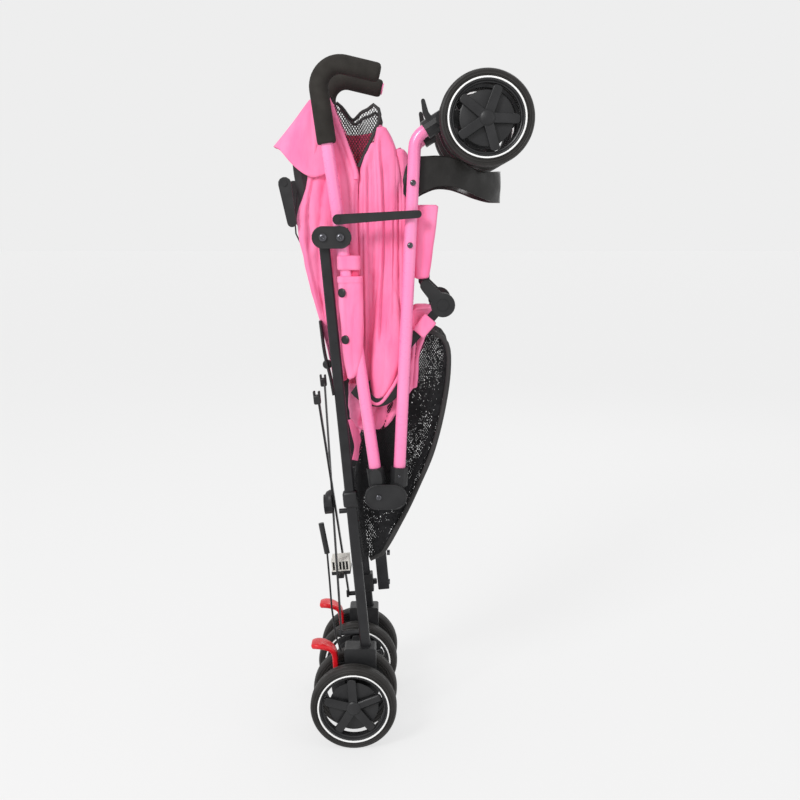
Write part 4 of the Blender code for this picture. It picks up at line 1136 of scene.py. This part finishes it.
vent_edge = [vent_place(1.0, step / 12) for step in range(13)]
vent_edge += [vent_place(1 - step / 14 * 0.86, 1.0) for step in range(1, 15)]


# a sheet of darker pink inside the hood, behind the net window: painted shade
def shade_sheet_place(u, v):
    left = Vector((-0.0581 - 0.0200 * v, 0, 0.9264 + 0.0480 * v))
    right = Vector((-0.0565 + 0.0240 * v, 0, 0.9264 + 0.0520 * v))
    y = -0.0300 + 0.004 * noise.noise(Vector((u * 3, v * 3, 2)))
    return left.lerp(right, u) + Vector((0, y, 0.010 * (u - 0.5) ** 2))


def to_side(point, sign):
    """Carries a place on the right side over to the side of that sign."""
    return Vector((point.x, -point.y * sign, point.z))


WING_TOP, WING_DROP, WING_STEPS = 1.026, 0.118, 20
wing_heights = [WING_TOP - WING_DROP * step / WING_STEPS for step in range(WING_STEPS + 1)]
for side, sign in SIDES.items():
    net, net_flat = draped(f"hood_window_{side}", 44, 44, lambda u, v: to_side(vent_place(u, v), sign), 0.0006)
    dress(net, "net_open")
    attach(net, f"hood_{side}")
    # the darker pink sheet behind the net is painted shade
    inside, inside_flat = draped(f"hood_inside_painted_shade_{side}", 16, 16,
                                 lambda u, v: to_side(shade_sheet_place(u, v), sign), 0.0008)
    dress(inside, "fabric_painted_shade")
    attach(inside, f"hood_{side}")
    trim_line = [to_side(point, sign) - Vector((0, -sign * 0.001, 0)) for point in vent_edge]
    mount(tube_along(f"window_binding_{side}", trim_line, 0.0026), "binding_black", f"hood_{side}")
    # the hem of the backrest's wing, along the V
    wing_line = [Vector((line_value(wing_edge, height) - 0.0045, sign * 0.0610, height)) for height in wing_heights]
    mount(tube_along(f"wing_hem_{side}", wing_line, 0.0042), "fabric_pink", f"back_{side}")
print("net window, lining and wing hem on both sides")

# %% [markdown]
# ## Cloth round the handle tubes
# A webbing loop and a side flap wrap each handle tube below the fold pivot. Each is a short loft with the tube
# inside it. Two dark press studs close the flap at its rear edge.

# %% Webbing loop and side flap


def stud(name, place, turn, radius, body, finish="moulded_black"):
    """A press stud: a low dome with a dimple, turned about Z from facing right."""
    button = spun(name, [(0.0010, 0.0001), (0.0010, radius), (-0.0008, radius), (-0.0016, radius * 0.86),
                         (-0.0022, radius * 0.45), (-0.0018, radius * 0.28), (-0.0016, 0.0001)], 24)
    button.rotation_euler = (0, 0, turn)
    button.location = place
    settle(button, 40)
    mount(button, finish, body)


STUD_TURN = {"right": radians(-38), "left": radians(180 + 38)}
for side, sign in SIDES.items():
    sleeve_middle = sign * 0.0835
    loop = gathered(f"webbing_loop_{side}", 0.7705, 0.7925, [(0.77, -0.0885), (0.793, -0.0890)],
                    [(0.77, -0.0530), (0.793, -0.0535)],
                    0.0172, crumple=0.0003, corner=0.010, end_round=0.0012, around=60, rows=10, middle=sleeve_middle)
    # a narrower piece of darker pink fills the gap between the webbing loop and the flap's hem: painted shade
    inner = gathered(f"loop_gap_painted_shade_{side}", 0.7560, 0.7720, [(0.756, -0.0660), (0.772, -0.0660)],
                     [(0.756, -0.0550), (0.772, -0.0550)],
                     0.0120, crumple=0.0006, corner=0.003, end_round=0.001, around=40, rows=8, middle=sleeve_middle)
    cover = gathered(f"side_flap_{side}", 0.6020, 0.7600,
                     [(0.602, -0.0740), (0.6328, -0.0800), (0.700, -0.0850), (0.760, -0.0880)],
                     [(0.602, -0.0660), (0.612, -0.0580), (0.6328, -0.0510), (0.700, -0.0495), (0.760, -0.0504)],
                     0.0172, [([(0.61, -0.0640), (0.66, -0.0660), (0.72, -0.0610)], 0.0022, 0.003, 0.006),
                              ([(0.66, -0.0720), (0.75, -0.0760)], 0.0016, 0.004, 0.002)],
                     crumple=0.0014, corner=0.011, end_round=0.002, around=90, rows=60, streak=(60, 60, 25),
                     middle=sleeve_middle)
    hem_top = gathered(f"flap_hem_{side}", 0.7500, 0.7612, [(0.75, -0.0884), (0.762, -0.0888)],
                       [(0.75, -0.0498), (0.762, -0.0498)],
                       0.0178, crumple=0.0003, corner=0.011, end_round=0.002, around=60, rows=8, middle=sleeve_middle)
    # the gap's piece gets the darker pink of painted shade, and the others the pink cloth
    for piece in (loop, inner, cover, hem_top):
        bundle_of(piece, "fabric_painted_shade" if piece is inner else "fabric_pink")
        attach(piece, f"handle_{side}")
    for index, (x, z) in enumerate(((-0.0845, 0.7362), (-0.0800, 0.6640))):
        place = Vector((x + 0.0030, sign * 0.0990, z))
        stud(f"flap_stud_{side}_{index}", place, STUD_TURN[side], 0.0072, f"handle_{side}")
    stud(f"hood_stud_{side}", Vector((-0.0165, sign * 0.0655, 0.5800)), 0 if side == "right" else pi, 0.0034,
         f"hood_{side}", "rivet_steel")

# a pink tab wraps each seat rail close to its upper end
RAIL_PIVOT = KNEE + HANDLE_UP * 0.1612
RAIL_ANGLE = radians(41.1)
for side, sign in SIDES.items():
    tab = gathered(f"rail_tab_{side}", -0.0155, 0.0155, [(-0.016, -0.0118), (0.016, -0.0118)],
                   [(-0.016, 0.0118), (0.016, 0.0118)],
                   0.0078, crumple=0.0004, corner=0.004, end_round=0.001, around=50, rows=12, middle=0)
    tab.rotation_euler = (0, RAIL_ANGLE, 0)
    tab.location = on_side(RAIL_PIVOT + polar(RAIL_ANGLE) * 0.1430, side, 0.0690)
    settle(tab)
    bundle_of(tab)
    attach(tab, f"seat_rail_{side}")
print("loops, side flaps, studs and rail tabs")

# %% [markdown]
# ## Straps at the back
# Flat black webbing runs from the back flap past the recline plates, and down to the brace. A strap is a narrow
# strip: a grid with its columns across the strap and its rows along a line, made a little thicker.

# %% Strap helper


def strap(name, line, width, body, finish="webbing_black", thickness=0.0016,
          across_y=False):
    """A flat strap along points, width metres wide, lying in the side view or across it."""
    columns = smooth_columns(line)

    def place(u, v):
        at = v * (len(line) - 1)
        here = Vector(row_at(columns, at))
        ahead = Vector(row_at(columns, min(at + 0.05, len(line) - 1)))
        behind = Vector(row_at(columns, max(at - 0.05, 0)))
        along = (ahead - behind).normalized()
        side_way = Vector((0, 1, 0)) if across_y else along.cross(Vector((0, 1, 0))).normalized()
        return here + side_way * width * (u - 0.5)

    piece, flat = draped(name, 6, 40, place, thickness)
    dress(piece, finish)
    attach(piece, body)


for side, sign in SIDES.items():
    lane = sign * 0.0500
    recline_line = [(-0.1530, lane, 0.9480), (-0.1500, lane, 0.9150), (-0.1440, lane, 0.8850),
                    (-0.1400, lane, 0.8640)]
    strap(f"recline_strap_{side}", recline_line, 0.0130, f"back_{side}")
    cord_line = [Vector((x, lane, z))
                 for x, z in ((-0.1520, 0.8900), (-0.1565, 0.8500), (-0.1550, 0.8250), (-0.1380, 0.7900))]
    cord = tube_along(f"recline_cord_{side}", cord_line, 0.0012)
    mount(cord, "webbing_black", f"back_{side}")
    lane = sign * 0.0600
    lower_line = [(-0.1180, lane, 0.6900), (-0.1120, lane, 0.6400), (-0.1030, lane, 0.6000), (-0.0980, lane, 0.5720)]
    strap(f"lower_strap_{side}", lower_line, 0.0200, f"back_{side}", thickness=0.0036,
          across_y=True)
    knob_place = Vector((-0.1075, sign * 0.0635, 0.6210))
    stud(f"strap_knob_{side}", knob_place, 0 if side == "right" else pi, 0.0075, f"back_{side}")
    lane = sign * 0.0520
    tail_line = [(-0.0700, sign * 0.0500, 0.5300), (-0.0640, lane, 0.5050), (-0.0600, lane, 0.4850),
                 (-0.0640, lane, 0.4620)]
    strap(f"tail_strap_{side}", tail_line, 0.0130, f"handle_{side}", finish="fabric_pink")
print("straps at the back")

# %% [markdown]
# ## Rear brace fittings
# Each rear leg has a black collar with a short bolt that carries the brace. The brace's middle has a domed knob,
# a rod comes up from the brake, and the foot lock is an ivory block with dark slots on a black base.

# %% Collars and bolts


def boxed(name, centre, size, bevel, body, finish="moulded_black"):
    """A block with rounded edges that leans as the rear legs do."""
    deselect()
    bpy.ops.mesh.primitive_cube_add(size=1)
    piece = bpy.context.object
    piece.name = name
    piece.scale = size
    settle(piece, 40)
    apply_modifier(piece, "BEVEL", width=bevel, segments=3, limit_method="ANGLE")
    piece.rotation_euler = (0, LEG_TURN, 0)
    piece.location = centre
    settle(piece, 40)
    mount(piece, finish, body)
    return piece


COLLAR_HEIGHT = 0.4080
BOLT_HEIGHT = 0.3890
SLOT_HEIGHT = 0.1860              # the small slot near the foot of the leg
for side in SIDES:
    body = f"frame_{side}"
    collar_place = on_side(rear_leg_at(COLLAR_HEIGHT), side)
    boxed(f"leg_collar_{side}", collar_place, (0.0235, 0.0200, 0.0260), 0.004, body)
    bolt_root = on_side(rear_leg_at(BOLT_HEIGHT), side)
    bolt_line = [bolt_root - LEG_NORMAL * 0.006, bolt_root - LEG_NORMAL * 0.0200]
    mount(tube_along(f"collar_bolt_{side}", bolt_line, 0.0040), "frame_black", body)
    # a thin black block on the leg's face stands for the slot's dark opening: painted shade of the hole
    slot_place = on_side(rear_leg_at(SLOT_HEIGHT), side, HALF_TRACK + 0.0058)
    boxed(f"leg_slot_{side}", slot_place, (0.0060, 0.0012, 0.0018), 0.0004, body, "tyre_black")
print("collars on both legs")

# %% Brace knob, brake rod and end lugs
BRACE_LENGTH = 0.428
BRACE_RISE = sqrt(BRACE_LENGTH**2 - (2 * HALF_TRACK) ** 2)
BRACE_START = 0.012               # lower end of a brace, up the leg from its foot
BRACE_LANE = {"right": 0.0375, "left": 0.034}   # how far behind the legs each brace lies
LEG_LENGTH = 0.6507
LEG_FOOT = FOLD_PIVOT - LEG_UP * LEG_LENGTH


def behind_legs(along, behind, across=0.0):
    """A place behind the rear legs; along is measured up the leg from the braces' lower ends."""
    point = LEG_FOOT + LEG_UP * (BRACE_START + along) - LEG_NORMAL * behind
    return Vector((point.x, across, point.z))


knob = spun("brace_knob", [(0.0000, 0.0001), (0.0000, 0.0176), (-0.0030, 0.0180), (-0.0085, 0.0155),
                           (-0.0128, 0.0095), (-0.0146, 0.0001)], 40)
knob.rotation_euler = (0, 0, -pi / 2)
settle(knob, 40)
knob.rotation_euler = (0, LEG_TURN, 0)
knob.location = behind_legs(BRACE_RISE / 2 + 0.006, BRACE_LANE["right"])
settle(knob, 40)
mount(knob, "moulded_black", "brace_right")
rod_line = [Vector((-0.1225, -0.046, 0.3541)), Vector((-0.1178, -0.046, 0.3280)), Vector((-0.1131, -0.046, 0.3026))]
mount(tube_along("brake_rod_sleeve", rod_line, 0.0046), "moulded_black", "frame_right")
rod_places = ((-0.1095, -0.048, 0.2550), (-0.1060, -0.055, 0.2100), (-0.0985, -0.066, 0.1640),
              (-0.0900, -0.0720, 0.1420))
mount(tube_along("brake_rod", [*rod_line[1:], *map(Vector, rod_places)], 0.0016), "frame_black", "frame_right")
for side, sign in SIDES.items():
    top = behind_legs(BRACE_RISE, BRACE_LANE[side], -sign * HALF_TRACK)
    boxed(f"brace_lug_{side}", top - LEG_NORMAL * 0.002, (0.0110, 0.0130, 0.0150), 0.0025, f"brace_{side}")
    for index, ahead in enumerate((-0.0038, 0.0038)):
        ear_place = top + LEG_UP * 0.0090 - LEG_NORMAL * 0.002 + Vector((ahead, 0, 0))
        boxed(f"brace_ear_{side}_{index}", ear_place, (0.0036, 0.0090, 0.0090), 0.0012, f"brace_{side}")
print("brace fittings")

# %% Foot lock
LOCK_CENTRE = behind_legs(0.087, BRACE_LANE["left"])
LOCK_BLOCKS = {                   # how far up the leg and across, the size and the bevel
    "base": (-0.0085, 0.0, (0.0320, 0.0410, 0.0070), 0.0015),
    "ear": (-0.0090, -0.0290, (0.0120, 0.0190, 0.0060), 0.0015),
    "core": (0.0035, 0.0, (0.0270, 0.0330, 0.0150), 0.0010),
}
for name, (lift, across, size, bevel) in LOCK_BLOCKS.items():
    block = boxed(f"foot_lock_{name}", LOCK_CENTRE + LEG_UP * lift + Vector((0, across, 0)), size, bevel,
                  "lock_pedal")
    if name == "base":
        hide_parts("lock_pedal")
RIB_COUNT, RIB_PITCH = 6, 0.0056
for index in range(RIB_COUNT):
    rib_place = LOCK_CENTRE + LEG_NORMAL * ((index - (RIB_COUNT - 1) / 2) * RIB_PITCH) + LEG_UP * 0.0035
    boxed(f"foot_lock_rib_{index}", rib_place, (0.0020, 0.0400, 0.0160), 0.0006, "lock_pedal", "button_ivory")
for index, lift in enumerate((-0.0050, 0.0120)):
    rail_place = LOCK_CENTRE + LEG_UP * lift
    boxed(f"foot_lock_rail_{index}", rail_place, (0.0310, 0.0400, 0.0024), 0.0008, "lock_pedal", "button_ivory")
print("foot lock")

# %% [markdown]
# ## Block and bar on the left leg
# Low on the left rear leg a square block holds a short flat bar beside the leg, with two bolts through it. The
# block and the bar lean as the leg does, and the bolts are short lengths of round bar.

# %% Left leg's block and bar
for name, centre, size in (("left_leg_block", (-0.0520, 0.0885, 0.2040), (0.0230, 0.0230, 0.0330)),
                           ("left_cross_bar", (-0.0250, 0.0860, 0.2320), (0.0200, 0.0120, 0.0810)),
                           ("left_bar_spacer", (-0.0390, 0.0870, 0.2050), (0.0100, 0.0090, 0.0090))):
    finish = "moulded_black" if "block" in name else "frame_black"
    boxed(name, Vector(centre), size, 0.0016, "frame_left", finish)
for index, height in enumerate((0.2046, 0.2593)):
    bolt_line = [Vector((x, 0.0860, height)) for x in (-0.0160, -0.0105)]
    mount(tube_along(f"cross_bar_bolt_{index}", bolt_line, 0.0048), "rivet_steel", "frame_left")
print("left block and bar")

# %% [markdown]
# ## Brake pedals
# A glossy red paddle on each side: it comes up out of the axle housing, bends back and widens for the foot. It
# is a thick strip along a bent line, rounded by subdivision.

# %% Brake pedals
PEDAL_LINE = [(-0.0975, 0.1170), (-0.0985, 0.1290), (-0.0990, 0.1400), (-0.1010, 0.1490), (-0.1070, 0.1560),
              (-0.1170, 0.1605), (-0.1280, 0.1620), (-0.1370, 0.1600)]
PEDAL_HALF = [(0, 0.0080), (2, 0.0085), (4, 0.0130), (5, 0.0160), (6, 0.0165), (7, 0.0120)]


def make_pedal(side):
    columns = smooth_columns(PEDAL_LINE)

    def place(u, v):
        at = v * (len(PEDAL_LINE) - 1)
        x, z = row_at(columns, at)
        across = 2 * u - 1
        bow = 0.0015 * (1 - across**2)
        return Vector((x, SIDES[side] * HALF_TRACK + line_value(PEDAL_HALF, at) * across, z + bow))

    pedal = grid_on(f"red_pedal_{side}", 6, 16, place)
    apply_modifier(pedal, "SOLIDIFY", thickness=0.0085, offset=0)
    apply_modifier(pedal, "SUBSURF", levels=2, render_levels=2)
    tidy_mesh(pedal)
    settle(pedal)
    mount(pedal, "pedal_red", f"brake_{side}", node=f"brake_pedal_{side}")


for side in SIDES:
    make_pedal(side)
print("two pedals")

# %% [markdown]
# ## Raised rims on the oval covers
# The fold pivot's bracket and the knee's cover are ovals with a raised, rounded rim, which catches the light.

# %% Cover rims


def oval_rim(name, one, other, radius, side, across, thickness, body):
    """A thin round rim along an oval about two centres."""
    along = (other - one).normalized()
    lift = along.cross(Vector((0, 1, 0)))
    points = []
    for centre, start in ((other, -pi / 2), (one, pi / 2)):
        for step in range(17):
            angle = start + pi * step / 16
            point = centre + along * (radius * cos(angle)) + lift * (radius * sin(angle))
            points.append(on_side(point, side, across))
    points.append(points[0])
    mount(tube_along(name, points, thickness), "moulded_black", body)


RIM_SINK = 0.0006                 # how deep a rim lies in its cover's face
KNEE_BACK, KNEE_AHEAD = KNEE + Vector((-0.002, 0, 0)), KNEE + Vector((0.024, 0, 0))
for side in SIDES:
    body = f"handle_{side}"
    oval_rim(f"bracket_rim_{side}", FOLD_PIVOT, HANDLE_SCREW, 0.0155, side, BRACKET_FACE - RIM_SINK, 0.0012, body)
    oval_rim(f"knee_rim_{side}", KNEE_BACK, KNEE_AHEAD, 0.0188, side, KNEE_FACE - RIM_SINK, 0.0014, body)
print("rims on four covers")
